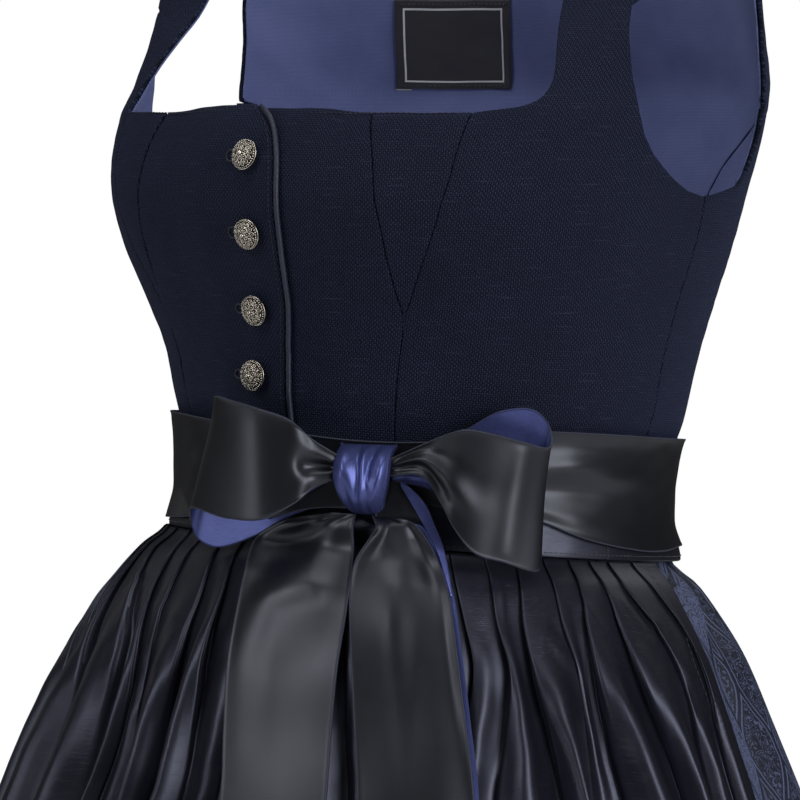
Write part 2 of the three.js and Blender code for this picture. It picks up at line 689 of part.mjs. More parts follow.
/** A point on the oval of a given mean reach, a drop below the waist seam, raised outward by rise. */
function skirtOval(angle, drop, reach) {
  const x = WIDE * reach * Math.sin(radians(angle));
  const y = -DEEP * reach * Math.cos(radians(angle));
  const tilt = WAIST_TILT * y * (1 - smoothstep(drop, 0, SKIRT_DROP));
  return new THREE.Vector3(x, y, WAIST_SEAM - drop - tilt);
}

/** 1 where the apron covers the skirt, 0 where it doesn't. */
const underApron = (angle) => 1 - smoothstep(Math.abs(angle), APRON_HALF_ANGLE - 6 - APRON_EASE, APRON_HALF_ANGLE - 4);

function skirtReach(angle, drop) {
  const { reach, fold } = skirtProfile(drop);
  const pressed = lerp(1, 0.55, underApron(angle));
  return reach + fold * pressed * Math.cos(radians(angle * SKIRT_FOLDS));
}

// Angle of each pleat's fold at the band, counted from the centre front to the wearer's left.
const pleatFold = straightTable([
  { at: -14, value: -97 },
  { at: -13, value: -89.5 },
  { at: -6, value: -39 },
  { at: -5, value: -28.8 },
  { at: -4, value: -21.2 },
  { at: -3, value: -16.3 },
  { at: -2, value: -9.6 },
  { at: -1, value: -2.2 },
  { at: 0, value: 0 },
  { at: 7, value: 50.3 },
  { at: 10, value: 69.3 },
  { at: 12, value: 79.7 },
  { at: 13, value: 87.5 },
  { at: 14, value: 97 },
]);
const APRON_DRAW = 5; // degrees by which the apron's side edges draw in below the band
/** The angle at which a count of pleats has come, at a drop. */
function pleatAngle(pleats, drop) {
  const drawn = 1 - (APRON_DRAW / APRON_HALF_ANGLE) * smoothstep(drop, 8, 26);
  return pleatFold(pleats) * drawn;
}

/** Height of a knife pleat at a phase from 0, its folded edge, to 1: a short rise and a long fall. */
const PLEAT_CREST = 0.22;
const knifePleat = (phase) => (phase < PLEAT_CREST ? phase / PLEAT_CREST : (1 - phase) / (1 - PLEAT_CREST));

/** The apron's reach at a count of pleats from the centre front, which the pleats face. */
function apronReach(pleats, drop) {
  const { reach } = skirtProfile(drop);
  const { lift, pleat } = apronProfile(drop);
  const angle = Math.abs(pleatFold(pleats));
  const edge = smoothstep(angle, APRON_HALF_ANGLE - APRON_EASE, APRON_HALF_ANGLE);
  return reach + lift + pleat * (knifePleat(Math.abs(pleats) % 1) - 0.5) * (1 - 0.7 * edge);
}

/** Rows of hanging cloth from reach(place, drop), the lowest row first. angleOf turns a place into its angle. */
function hangingRows({ drops, places, angleOf = (place) => place, reach, wall }) {
  return [...drops].reverse().map((drop) =>
    places.map((place) => ({
      outer: skirtOval(angleOf(place, drop), drop, reach(place, drop)),
      inner: skirtOval(angleOf(place, drop), drop, reach(place, drop) - wall),
    })),
  );
}

/** Angles that sample each fold at the given phases, over whole folds from one angle to another. */
function foldAngles(from, to, folds, phases) {
  const width = (to - from) / folds;
  const angles = [];
  for (let i = 0; i < folds; i++) phases.forEach((phase) => angles.push(from + (i + phase) * width));
  return [...angles, to];
}

function addSkirt() {
  const drops = [SEAM_GAP, 9, 19, 40, 85, 170, 300, 470, SKIRT_DROP];
  const half = SKIRT_FOLDS / 2;
  const phases = [0, 0.5];
  const trim = degrees(SEAM_GAP / 2 / 121);
  const frontAngles = foldAngles(-90 + trim, 90 - trim, half, phases);
  const backAngles = foldAngles(90 + trim, 270 - trim, half, phases);
  const skirt = (name, places) => {
    const rows = hangingRows({ drops, places, reach: skirtReach, wall: WALL.skirt });
    addPiece(name, new ClothWall().addGrid(rows).geometry(), COLOUR.skirt, 0.7);
  };
  skirt("skirt_front", frontAngles);
  skirt("skirt_back", backAngles);
}

function addApron() {
  const apronDrops = [WAIST_SEAM - BAND.bottom + SEAM_GAP, 17, 40, 85, 170, 300, 470, APRON_DROP];
  const half = APRON_PLEATS / 2;
  const places = [
    ...foldAngles(-half, 0, half, [0, 1 - PLEAT_CREST]).slice(0, -1),
    ...foldAngles(0, half, half, [0, PLEAT_CREST]),
  ];
  const rows = hangingRows({ drops: apronDrops, places, angleOf: pleatAngle, reach: apronReach, wall: WALL.apron });
  addPiece("apron", new ClothWall().addGrid(rows).geometry(), COLOUR.apron, 0.45);
}

// ---------------------------------------------------------------- apron band and ribbon round the waist
/** How far the waist's layers stand off the bodice: over the front lap and its piping, and over the gathers. */
function bandRise(angle, at) {
  const lap = 3.4 * smoothstep(angle, -34, -18) * (1 - smoothstep(angle, 12, 26));
  const overSkirt = 3.2 + 2.8 * smoothstep(Math.abs(angle), 98, 122);
  return 0.7 + Math.max(lap, overSkirt * (1 - smoothstep(at, 3, 20)));
}
/** The ribbon lies over the band, and on the bodice where the band has ended. */
function ribbonRise(angle, at) {
  const overBand = 1 - smoothstep(Math.abs(angle), BAND_HALF_ANGLE + 3, BAND_HALF_ANGLE + 16);
  return bandRise(angle, at) + (WALL.band + SEAM_GAP + 0.3) * overBand;
}

/** A wall round the waist between two lengths up, each a function of the angle. */
function waistRows({ angles, bottom, top, rise, wall, rows }) {
  return span(0, 1, rows).map((share) =>
    angles.map((angle) => {
      const at = lerp(bottom(angle), top(angle), share);
      const off = rise(angle, at);
      return { outer: bodicePoint(angle, at, off + wall), inner: bodicePoint(angle, at, off) };
    }),
  );
}

const ribbonEdges = smoothTable([
  { at: -180, bottom: 8.2, top: 57 },
  { at: -118, bottom: 8.2, top: 56.5 },
  { at: -100, bottom: 6, top: 56 },
  { at: -30, bottom: 6, top: 54.5 },
  { at: 5, bottom: 18, top: 50 },
  { at: KNOT_ANGLE, bottom: 23, top: 48 },
  { at: 46, bottom: 20, top: 51 },
  { at: 62, bottom: 18, top: 57 },
  { at: 76, bottom: 10, top: 58 },
  { at: 92, bottom: 6, top: 58 },
  { at: 104, bottom: 6, top: 58 },
  { at: 118, bottom: 8.2, top: 58 },
  { at: 180, bottom: 8.2, top: 57 },
]);

function addWaist() {
  const bandAngles = span(-BAND_HALF_ANGLE, BAND_HALF_ANGLE, 40);
  const backAngles = span(BAND_HALF_ANGLE, 180, 6).slice(1);
  const bandRows = waistRows({
    angles: bandAngles,
    bottom: () => BAND.bottom,
    top: () => BAND.top,
    rise: bandRise,
    wall: WALL.band,
    rows: 3,
  });
  addPiece("apron_waistband", new ClothWall().addGrid(bandRows).geometry(), COLOUR.apron, 0.5);
  const ribbon = waistRows({
    angles: [...backAngles.map((angle) => -angle).reverse(), ...bandAngles, ...backAngles],
    bottom: (angle) => ribbonEdges(angle).bottom,
    top: (angle) => ribbonEdges(angle).top,
    rise: ribbonRise,
    wall: WALL.ribbon,
    rows: 3,
  });
  addPiece("ribbon_belt", new ClothWall().addGrid(ribbon).geometry(), COLOUR.satin, 0.4);
}

// ---------------------------------------------------------------- bow
// Each row is a place along a loop: how far it stands off the ribbon belt, and where the ribbon's upper and lower
// edges are, as an angle round the waist and a length up. A loop goes out from the knot, turns at its tip and
// comes back behind.
const RIGHT_LOOP = [
  { off: 12, upAngle: 19, up: 40.5, lowAngle: 19, low: 30, side: -1 },
  { off: 16, upAngle: 17.8, up: 47, lowAngle: 18.2, low: 25.5 },
  { off: 22, upAngle: 14.6, up: 55, lowAngle: 16, low: 18.7 },
  { off: 26, upAngle: 9, up: 59.4, lowAngle: 10.5, low: 10.2 },
  { off: 24, upAngle: 2.9, up: 62.4, lowAngle: 2.5, low: 9 },
  { off: 18, upAngle: -2.2, up: 64, lowAngle: -10, low: 11 },
  { off: 12, upAngle: -4.7, up: 60.9, lowAngle: -11.1, low: 0 },
  { off: 9, upAngle: -2.3, up: 54, lowAngle: -6.9, low: -4.9 },
  { off: 7, upAngle: 4.5, up: 48.6, lowAngle: 3, low: 1.3 },
  { off: 6, upAngle: 13, up: 44, lowAngle: 11, low: 11.6 },
  { off: 5, upAngle: 19, up: 40, lowAngle: 18.5, low: 22, side: -1 },
];
const LEFT_LOOP = [
  { off: 12, upAngle: 33, up: 40.4, lowAngle: 33, low: 33, side: 1 },
  { off: 16, upAngle: 37.8, up: 47.8, lowAngle: 38.5, low: 34 },
  { off: 20, upAngle: 41.6, up: 52.4, lowAngle: 41.9, low: 23.5 },
  { off: 24, upAngle: 45.6, up: 56, lowAngle: 44.5, low: 11.8 },
  { off: 27, upAngle: 50.6, up: 56.7, lowAngle: 48, low: 2 },
  { off: 26, upAngle: 56, up: 56.2, lowAngle: 53.2, low: -1.2 },
  { off: 20, upAngle: 62, up: 55.8, lowAngle: 58.5, low: -2.6 },
  { off: 14, upAngle: 62.4, up: 63.4, lowAngle: 61.5, low: 4.2 },
  { off: 9, upAngle: 58.3, up: 67.9, lowAngle: 58, low: 11 },
  { off: 7, upAngle: 52.7, up: 65, lowAngle: 52, low: 16.7 },
  { off: 6, upAngle: 46.8, up: 56.7, lowAngle: 45.5, low: 24.5 },
  { off: 5, upAngle: 39.5, up: 47.6, lowAngle: 39, low: 29 },
  { off: 5, upAngle: 34, up: 40.5, lowAngle: 34, low: 31, side: 1 },
];
/** The wrap that holds the bow: a rounded band of ribbon. Its frame: up, outward from the waist, and across. */
const KNOT = { angle: 27, halfWidth: 10.6, height: 26, depth: 20, middle: 31 };
const knotPlace = bodicePoint(KNOT.angle, KNOT.middle, ribbonRise(KNOT.angle, 20) + WALL.ribbon + 2.4);
const knotOutward = normalOf(bodicePoint, KNOT.angle, 30).setZ(0).normalize();
const knotUp = new THREE.Vector3(0, 0, 1);
const knotAcross = new THREE.Vector3().crossVectors(knotUp, knotOutward);
const LOOP_STEPS = 20;
const WIDTH_STEPS = 4;

/** A smooth curve through the rows' points at one share of the ribbon's width. */
function ribbonCurve(rows, share, place) {
  return new THREE.CatmullRomCurve3(rows.map((row) => place(row, share)), false, "centripetal");
}

/** A ribbon wall along rows; place(row, share) is the point at a share of the width, from the lower edge up. */
function ribbonRows({ rows, place, steps, widthSteps, wall, flip }) {
  const curves = span(0, 1, widthSteps).map((share) => ribbonCurve(rows, share, place));
  const points = curves.map((curve) => span(0, 1, steps).map((t) => curve.getPoint(t)));
  return points.map((row, i) =>
    row.map((point, j) => {
      const along = row[Math.min(j + 1, steps)].clone().sub(row[Math.max(j - 1, 0)]);
      const across = points[Math.min(i + 1, widthSteps)][j].clone().sub(points[Math.max(i - 1, 0)][j]);
      const normal = along.cross(across).normalize().multiplyScalar(flip ? -1 : 1);
      const shifted = point.clone().addScaledVector(normal, -wall);
      return flip ? { outer: shifted, inner: point } : { outer: point, inner: shifted };
    }),
  );
}

function overBelt({ off, upAngle, up, lowAngle, low, side }, share) {
  const at = lerp(low, up, share);
  const angle = lerp(lowAngle, upAngle, share);
  const gathers = 10 * (1 - smoothstep(at, -12, 8)); // clear of the apron's pleats under the waist
  const point = bodicePoint(angle, at, ribbonRise(angle, Math.max(at, 20)) + WALL.ribbon + Math.max(off, gathers));
  if (!side) return point;
  // The loop's two ends run up to the knot's side face.
  const across = point.clone().sub(knotPlace).dot(knotAcross);
  return point.addScaledVector(knotAcross, side * (KNOT.halfWidth + SEAM_GAP) - across);
}

// The tails hang over the apron. Each row: how far it stands off, and the angle and the drop under the waist seam of
// the ribbon's edge on the wearer's right and on the left.
const RIGHT_TAIL = [
  { off: 8, right: 20.5, rightDrop: -7.3, left: 25, leftDrop: -7.3 },
  { off: 10, right: 11, rightDrop: -2.2, left: 24.8, leftDrop: -1.4 },
  { off: 9, right: 4, rightDrop: 7, left: 25.1, leftDrop: 9 },
  { off: 8, right: 5.8, rightDrop: 23.3, left: 26, leftDrop: 25.6 },
  { off: 7, right: 6.8, rightDrop: 36, left: 26, leftDrop: 37 },
  { off: 6, right: 8.2, rightDrop: 61, left: 25.7, leftDrop: 58 },
  { off: 5, right: 10, rightDrop: 90, left: 25.7, leftDrop: 87 },
  { off: 5, right: 11.7, rightDrop: 118, left: 26, leftDrop: 115 },
  { off: 5, right: 12.6, rightDrop: 200, left: 25.5, leftDrop: 198 },
  { off: 5, right: 13.4, rightDrop: 330, left: 24.2, leftDrop: 327 },
  { off: 5, right: 14, rightDrop: 492, left: 23.2, leftDrop: 470 },
];
const LEFT_TAIL = [
  { off: 8, right: 28.3, rightDrop: -7.3, left: 33, leftDrop: -7.3 },
  { off: 12, right: 29.5, rightDrop: -2, left: 37, leftDrop: -5 },
  { off: 12, right: 28.2, rightDrop: 3, left: 39.5, leftDrop: 2 },
  { off: 10, right: 26, rightDrop: 12.5, left: 41.3, leftDrop: 11 },
  { off: 8, right: 26, rightDrop: 25.6, left: 42.7, leftDrop: 23.5 },
  { off: 7, right: 27.2, rightDrop: 46.6, left: 43.4, leftDrop: 43.5 },
  { off: 5, right: 28.6, rightDrop: 77, left: 44.2, leftDrop: 74 },
  { off: 5, right: 30, rightDrop: 112, left: 44.9, leftDrop: 109 },
  { off: 5, right: 31, rightDrop: 200, left: 44, leftDrop: 197 },
  { off: 5, right: 32.2, rightDrop: 330, left: 43, leftDrop: 327 },
  { off: 5, right: 33, rightDrop: 488, left: 42.2, leftDrop: 512 },
];

/** A point hanging over the apron, off its pleats' crests; above the apron, off the ribbon belt. */
function overApron(angle, drop, off) {
  const low = Math.max(drop, 8);
  const { reach } = skirtProfile(low);
  const { lift, pleat } = apronProfile(low);
  const hanging = skirtOval(angle, drop, reach + lift + pleat / 2 + off);
  if (drop >= 14) return hanging;
  const at = WAIST_SEAM - drop;
  const belt = bodicePoint(angle, at, ribbonRise(angle, 20) + WALL.ribbon + off);
  return belt.lerp(hanging, smoothstep(drop, -6, 14));
}

function overApronRow({ off, right, rightDrop, left, leftDrop }, share) {
  return overApron(lerp(left, right, share), lerp(leftDrop, rightDrop, share), off);
}

function addBow() {
  const ribbon = (name, rows, place, steps, widthSteps, flip) => {
    const wallRows = ribbonRows({ rows, place, steps, widthSteps, wall: WALL.ribbon, flip });
    addPiece(name, new ClothWall().addGrid(wallRows).geometry(), COLOUR.satin, 0.4);
  };
  ribbon("bow_right_loop", RIGHT_LOOP, overBelt, LOOP_STEPS, WIDTH_STEPS, true);
  ribbon("bow_left_loop", LEFT_LOOP, overBelt, LOOP_STEPS, WIDTH_STEPS, false);
  ribbon("bow_right_tail", RIGHT_TAIL, overApronRow, 16, 3, false);
  ribbon("bow_left_tail", LEFT_TAIL, overApronRow, 16, 3, false);
}

function addKnot() {
  const outline = new THREE.Shape();
  const { height, depth, halfWidth } = KNOT;
  outline.moveTo(-height / 2, 0);
  outline.bezierCurveTo(-height / 2, depth, height / 2, depth * 1.05, height / 2, 0);
  outline.closePath();
  const bevel = { bevelEnabled: true, bevelThickness: 3, bevelSize: 2, bevelSegments: 2 };
  const geometry = new THREE.ExtrudeGeometry(outline, { depth: 2 * (halfWidth - 3), curveSegments: 8, ...bevel });
  geometry.translate(0, 0, 3 - halfWidth);
  geometry.applyMatrix4(new THREE.Matrix4().makeBasis(knotUp, knotOutward, knotAcross));
  geometry.translate(...knotPlace.toArray());
  addPiece("bow_knot", geometry, COLOUR.navySatin, 0.4);
}

addBodice();
addLining();
addLabel();
addPiping();
addButtons();
addSkirt();
addApron();
addWaist();
addBow();
addKnot();

export default group;
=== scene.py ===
"""A sleeveless dirndl as worn: linen bodice with metal buttons, patterned gathered skirt, pleated apron, and
a satin ribbon belt tied in a bow. Every cloth piece is a thin wall on the form of its solid, with its folds,
seams and stitching added. Shapes are worked out in millimetres round the waist line and set into the frame by
place()."""

import math

import bpy
import numpy as np
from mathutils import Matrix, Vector

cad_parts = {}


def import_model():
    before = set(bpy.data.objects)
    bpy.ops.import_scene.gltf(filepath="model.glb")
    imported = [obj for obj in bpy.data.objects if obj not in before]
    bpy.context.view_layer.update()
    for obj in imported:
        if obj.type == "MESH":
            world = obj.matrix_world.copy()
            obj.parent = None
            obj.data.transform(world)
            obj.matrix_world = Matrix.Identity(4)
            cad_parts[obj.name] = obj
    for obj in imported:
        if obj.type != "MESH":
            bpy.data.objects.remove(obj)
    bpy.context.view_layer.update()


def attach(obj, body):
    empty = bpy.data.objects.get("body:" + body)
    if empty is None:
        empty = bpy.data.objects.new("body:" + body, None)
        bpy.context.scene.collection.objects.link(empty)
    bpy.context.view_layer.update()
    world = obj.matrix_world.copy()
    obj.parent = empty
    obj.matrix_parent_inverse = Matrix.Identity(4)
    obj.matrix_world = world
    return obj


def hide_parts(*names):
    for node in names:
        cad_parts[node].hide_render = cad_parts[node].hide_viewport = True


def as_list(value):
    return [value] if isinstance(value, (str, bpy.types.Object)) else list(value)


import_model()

# ------------------------------------------------------------------ driving dimensions, millimetres
SHOULDER_HEIGHT = 386
NECK_HEIGHT = 205
BACK_NECK_HEIGHT = 270
WAIST_SEAM = 8
SKIRT_DROP = 668
APRON_DROP = 640
WAIST_TILT = 0.1
STRAP_TOP = 412
STRAP_INNER = 96
SHOULDER_SLOPE = 0.22
LINEN, LINING, SKIRT, APRON, BAND, RIBBON, LABEL = 2, 1, 1.6, 1.4, 1.5, 1.2, 0.8
SEAM_HALF = 0.15
LINING_GAP = 0.6
LAP_RISE = LINEN + 0.5
SKIRT_FOLDS = 52
APRON_PLEATS = 28
APRON_HALF = 97
BAND_HALF = 140
UNDERLAP = -15
BAND_BOTTOM, BAND_TOP = 1.2, 46


# ------------------------------------------------------------------ tables and curves
def smoothstep(x, low, high):
    t = np.clip((np.asarray(x, float) - low) / (high - low), 0, 1)
    return t * t * (3 - 2 * t)


def lerp(a, b, t):
    return a + (b - a) * t


def smooth(columns, rows):
    """Reads a table whose first column is the place along it: smooth(...)["name"](at) is a smooth curve."""
    table = np.array(rows, float)
    at = table[:, 0]
    low = np.maximum(np.arange(len(at)) - 1, 0)
    high = np.minimum(np.arange(len(at)) + 1, len(at) - 1)

    def curve(values):
        slope = (values[high] - values[low]) / (at[high] - at[low])

        def read(x):
            x = np.clip(np.asarray(x, float), at[0], at[-1])
            i = np.clip(np.searchsorted(at, x, side="left") - 1, 0, len(at) - 2)
            span = at[i + 1] - at[i]
            t = (x - at[i]) / span
            return (
                (1 + 2 * t) * (1 - t) ** 2 * values[i]
                + t * (1 - t) ** 2 * span * slope[i]
                + t * t * (3 - 2 * t) * values[i + 1]
                + t * t * (t - 1) * span * slope[i + 1]
            )

        return read

    return {name: curve(table[:, i + 1]) for i, name in enumerate(columns.split())}


def straight(*rows):
    at, values = zip(*rows)
    return lambda x: np.interp(x, at, values)


# Sections of the bodice: length up the front, height, half width, reach to the front and back of a centre
# that lies shift behind the waist's own, and how square each half oval is.
torso = smooth("z width front back shift square_front square_back", [
    (-20, -20, 120.5, 107, 104.5, 0, 2, 2),
    (0, 0, 120.5, 107, 104.5, 0, 2, 2),
    (30, 30, 120, 106, 104.5, 0, 2, 2),
    (52, 52, 122, 107, 107.5, 1, 2, 2),
    (66, 66, 126, 110, 112, 2, 2, 2),
    (90, 90, 130, 113, 115, 4, 2.1, 2.05),
    (115, 115, 137, 119, 116, 7, 2.3, 2.1),
    (145, 145, 147, 130, 114, 10, 2.5, 2.2),
    (170, 170, 154, 136, 112, 13, 2.5, 2.25),
    (200, 200, 159, 131, 113, 17, 2.4, 2.3),
    (215, 215, 159.5, 116, 112, 19, 2.5, 2.35),
    (235, 235, 159.5, 90, 101, 22, 3, 2.3),
    (256, 256, 159.5, 64, 90, 24, 3.5, 2.3),
    (300, 300, 159, 44, 73, 26, 3.5, 2.4),
    (340, 338, 158.5, 32, 55, 27, 3.5, 2.5),
    (370, 365, 160, 23, 40, 27, 3.5, 2.6),
    (392, 380, 160, 12, 22, 27, 3.5, 2.8),
    (412, 386, 160, 0, 0, 27, 3.5, 3),
])
gusset_front = straight((0, 31.5), (70, 31.3), (95, 31), (113, 30.2), (125, 28), (140, 25.9), (165, 23.4),
    (184, 22), (205, 19.4))
gusset_back = straight((0, 31.5), (70, 31.3), (95, 31), (113, 30.6), (125, 31.9), (155, 35.7), (174, 37.4),
    (203, 38.3))
side_seam = straight((0, 96.4), (80, 96.8), (120, 94.6), (145, 93.3), (165, 91.7))
back_seam = {
    "left": straight((0, 158), (80, 156.5), (110, 155), (140, 152), (165, 147), (176, 143.5), (183, 139.5),
    (190, 134), (195, 128), (200, 121), (204, 116), (208, 111.6)),
    "right": straight((0, 158), (80, 156.5), (110, 155), (140, 152), (165, 146.5), (176, 141), (183, 134),
    (190, 125), (195, 117), (200, 109), (204, 103), (208, 97.6)),
}
armhole_back = {
    "left": straight((165, 92.5), (169, 104.5), (176, 109), (190, 112), (208, 111), (240, 112), (256, 111)),
    "right": straight((165, 92.5), (169, 101), (176, 102.5), (190, 99.5), (208, 97), (240, 98.5),
    (256, 98.5)),
}
armhole_front = straight((165, 91.5), (168, 88.5), (174, 84.5), (184, 79), (193, 75.4), (211, 70.8),
    (228, 66.2), (252, 57))
neck_edge = smooth("left right", [(203, 105, 105), (205, 119, 107), (207, 125, 108), (211, 128.5, 108.5),
    (220, 129, 108.5), (234, 124, 108.5), (256, 113, 109), (300, 104, 103), (350, 99, 98), (412, 96, 96)])
strap_front = smooth("left right", [(252, 147, 155), (300, 149, 156), (350, 150, 153), (412, 150, 150)])
strap_back = smooth("left right", [(256, 150.5, 158), (300, 150.5, 156), (350, 150, 152), (412, 150, 150)])
back_neck = smooth("x", [(270, 90), (272, 99), (276, 105), (284, 108), (300, 107), (350, 100),
    (412, 96)])["x"]
lap_edge = smooth("x", [(0, 14), (90, 16), (125, 20), (160, 22.5), (178, 21.5), (191, 17.5), (199, 11),
    (205, 0)])["x"]


# ------------------------------------------------------------------ the body surface
def signed_power(base, exponent):
    return np.sign(base) * np.abs(base) ** exponent


def stack(x, y, z):
    return np.stack(np.broadcast_arrays(x, y, z), -1)


def bodice_point(angle, at, offset=0.0):
    """The bodice's outer face, at degrees round from the centre front to the left and a length up."""
    angle, at = np.broadcast_arrays(np.asarray(angle, float), np.asarray(at, float))
    sine, cosine = np.sin(np.radians(angle)), np.cos(np.radians(angle))
    front = cosine > 0
    exponent = 2 / np.where(front, torso["square_front"](at), torso["square_back"](at))
    reach = np.where(front, torso["front"](at), torso["back"](at)) + offset
    x = (torso["width"](at) + offset) * signed_power(sine, exponent)
    y = torso["shift"](at) - reach * signed_power(cosine, exponent)
    shoulder = SHOULDER_SLOPE * (np.abs(x) - STRAP_INNER) * smoothstep(at, 300, STRAP_TOP)
    tilt = WAIST_TILT * y * (1 - smoothstep(at, 55, 125))
    return stack(x, y, torso["z"](at) - shoulder - tilt)


def angle_at(x, at, back=False):
    square = torso["square_back" if back else "square_front"](at)
    sine = signed_power(np.minimum(1, np.abs(x) / torso["width"](at)), square / 2)
    angle = np.sign(x) * np.degrees(np.arcsin(sine))
    return 180 - angle if back else angle


def unit(v):
    return v / np.maximum(np.linalg.norm(v, axis=-1, keepdims=True), 1e-9)


def bodice_normal(angle, at):
    low = np.minimum(at, STRAP_TOP - 2)
    along = bodice_point(angle + 0.6, low) - bodice_point(angle - 0.6, low)
    up = bodice_point(angle, low + 0.6) - bodice_point(angle, low - 0.6)
    share = smoothstep(at, 385, STRAP_TOP)[..., None]
    return unit(lerp(unit(np.cross(along, up)), np.array([0.0, 0, 1]), share))


def distance_along(points):
    """How far each point is from the first, along the first axis."""
    steps = np.linalg.norm(np.diff(points, axis=0), axis=-1)
    return np.concatenate([np.zeros((1, *steps.shape[1:])), np.cumsum(steps, axis=0)])


def waves(u, v, size, count=7, seed=3):
    """A calm, uneven swell from -1 to 1 over a surface, about size millimetres across."""
    pick = np.random.default_rng(seed)
    total = 0
    for _ in range(count):
        heading = pick.uniform(0, math.pi)
        length = size * pick.uniform(0.7, 1.9)
        phase = pick.uniform(0, 6.3)
        total = total + np.sin((u * math.cos(heading) + v * math.sin(heading)) * 2 * math.pi / length
            + phase)
    return total / count * 1.7


def crease(u, v, start, end, width, depth):
    """A ridge (or a dent, below 0) along the line from start to end, fading at both ends."""
    a, b = np.array(start, float), np.array(end, float)
    line = b - a
    length = np.hypot(*line)
    along = ((u - a[0]) * line[0] + (v - a[1]) * line[1]) / length**2
    across = ((u - a[0]) * line[1] - (v - a[1]) * line[0]) / length
    return depth * np.exp(-((across / width) ** 2)) * smoothstep(along, -0.15, 0.25) * (1
        - smoothstep(along, 0.7, 1.15))


def creases(u, v, table, scale=1.0):
    """All the creases of a table; scale turns the first coordinate of its starts and ends into u's."""
    return sum(
        crease(u, v, (start[0] * scale, start[1]), (end[0] * scale, end[1]), width, depth)
        for start, end, width, depth in table
    )


# ------------------------------------------------------------------ cloth walls
class Cloth:
    """Grids of outer and inner points, rows up and columns to the wearer's left, closed into thin walls."""

    def __init__(self):
        self.points, self.faces, self.uvs, self.kinds, self.edge = [], [], [], [], []
        self.count = 0

    def add(self, outer, inner, uv, uv_after=None, edge=None, hard_rim=False):
        rows, columns = outer.shape[:2]
        here = np.arange(rows * columns).reshape(rows, columns) + self.count
        there = here + rows * columns
        self.points += [outer.reshape(-1, 3), inner.reshape(-1, 3)]
        flat_edge = np.full(rows * columns, 99.0) if edge is None else edge.reshape(-1)
        self.edge += [flat_edge, flat_edge]
        after = uv if uv_after is None else uv_after
        corners = [(slice(0, -1), slice(0, -1)), (slice(0, -1), slice(1, None)),
            (slice(1, None), slice(1, None)), (slice(1, None), slice(0, -1))]
        grids = [uv, after, after, uv]
        outside = np.stack([here[c] for c in corners], -1).reshape(-1, 4)
        uvs = np.stack([g[c] for g, c in zip(grids, corners)], -2).reshape(-1, 4, 2)
        inside = np.stack([there[c] for c in corners[::-1]], -1).reshape(-1, 4)
        self.faces += [outside, inside]
        self.uvs += [uvs, uvs[:, ::-1]]
        self.kinds += [np.zeros(len(outside), int), np.ones(len(inside), int)]
        ring = [here[0], here[:, -1], here[-1, ::-1], here[::-1, 0]]
        ring_uv = [uv[0], after[:, -1], uv[-1, ::-1], uv[::-1, 0]]
        for line, place_uv in zip(ring, ring_uv):
            back = line + rows * columns
            self.faces.append(np.stack([line[1:], line[:-1], back[:-1], back[1:]], -1))
            self.uvs.append(np.stack([place_uv[1:], place_uv[:-1], place_uv[:-1], place_uv[1:]], -2))
            self.kinds.append(np.full(len(line) - 1, 3 if hard_rim else 2))
        self.count += 2 * rows * columns
        return self

    def piece(self, name, materials, inside=0):
        return make_mesh(name, np.concatenate(self.points), np.concatenate(self.faces), materials,
                         np.concatenate(self.uvs), np.concatenate(self.kinds), inside,
                         np.concatenate(self.edge))


def place(points):
    """Millimetres round the waist line to metres in the frame."""
    moved = np.array(points, float)
    moved[..., 2] -= SHOULDER_HEIGHT
    return moved / 1000


def make_mesh(name, points, faces, materials, uvs=None, kinds=None, inside=0, edge=None):
    mesh = bpy.data.meshes.new(name)
    faces = np.asarray(faces, int)
    mesh.vertices.add(len(points))
    mesh.vertices.foreach_set("co", place(points).astype(np.float32).ravel())
    mesh.loops.add(faces.size)
    mesh.loops.foreach_set("vertex_index", faces.ravel())
    mesh.polygons.add(len(faces))
    mesh.polygons.foreach_set("loop_start", np.arange(len(faces)) * faces.shape[1])
    mesh.update(calc_edges=True)
    mesh.validate()
    mesh.polygons.foreach_set("use_smooth", np.ones(len(faces), bool) if kinds is None else kinds != 3)
    if uvs is not None:
        mesh.uv_layers.new(name="cloth").data.foreach_set("uv", uvs.astype(np.float32).ravel())
    if kinds is not None:
        mesh.polygons.foreach_set("material_index", np.where(kinds == 1, inside, 0))
    if edge is not None:
        mesh.attributes.new("from_edge", "FLOAT", "POINT").data.foreach_set("value",
            edge.astype(np.float32))
    mesh.update()
    piece = bpy.data.objects.new(name, mesh)
    bpy.context.scene.collection.objects.link(piece)
    for finish in materials if isinstance(materials, (list, tuple)) else [materials]:
        mesh.materials.append(finish)
    return piece


def stand_for(piece, node):
    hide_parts(node)
    return trim(piece)


def trim(piece):
    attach(piece, "root")
    return piece


def sew(cloth, node, materials, inside=0):
    """The cloth that stands for a solid, named after it."""
    return stand_for(cloth.piece(node + "_cloth", materials, inside), node)


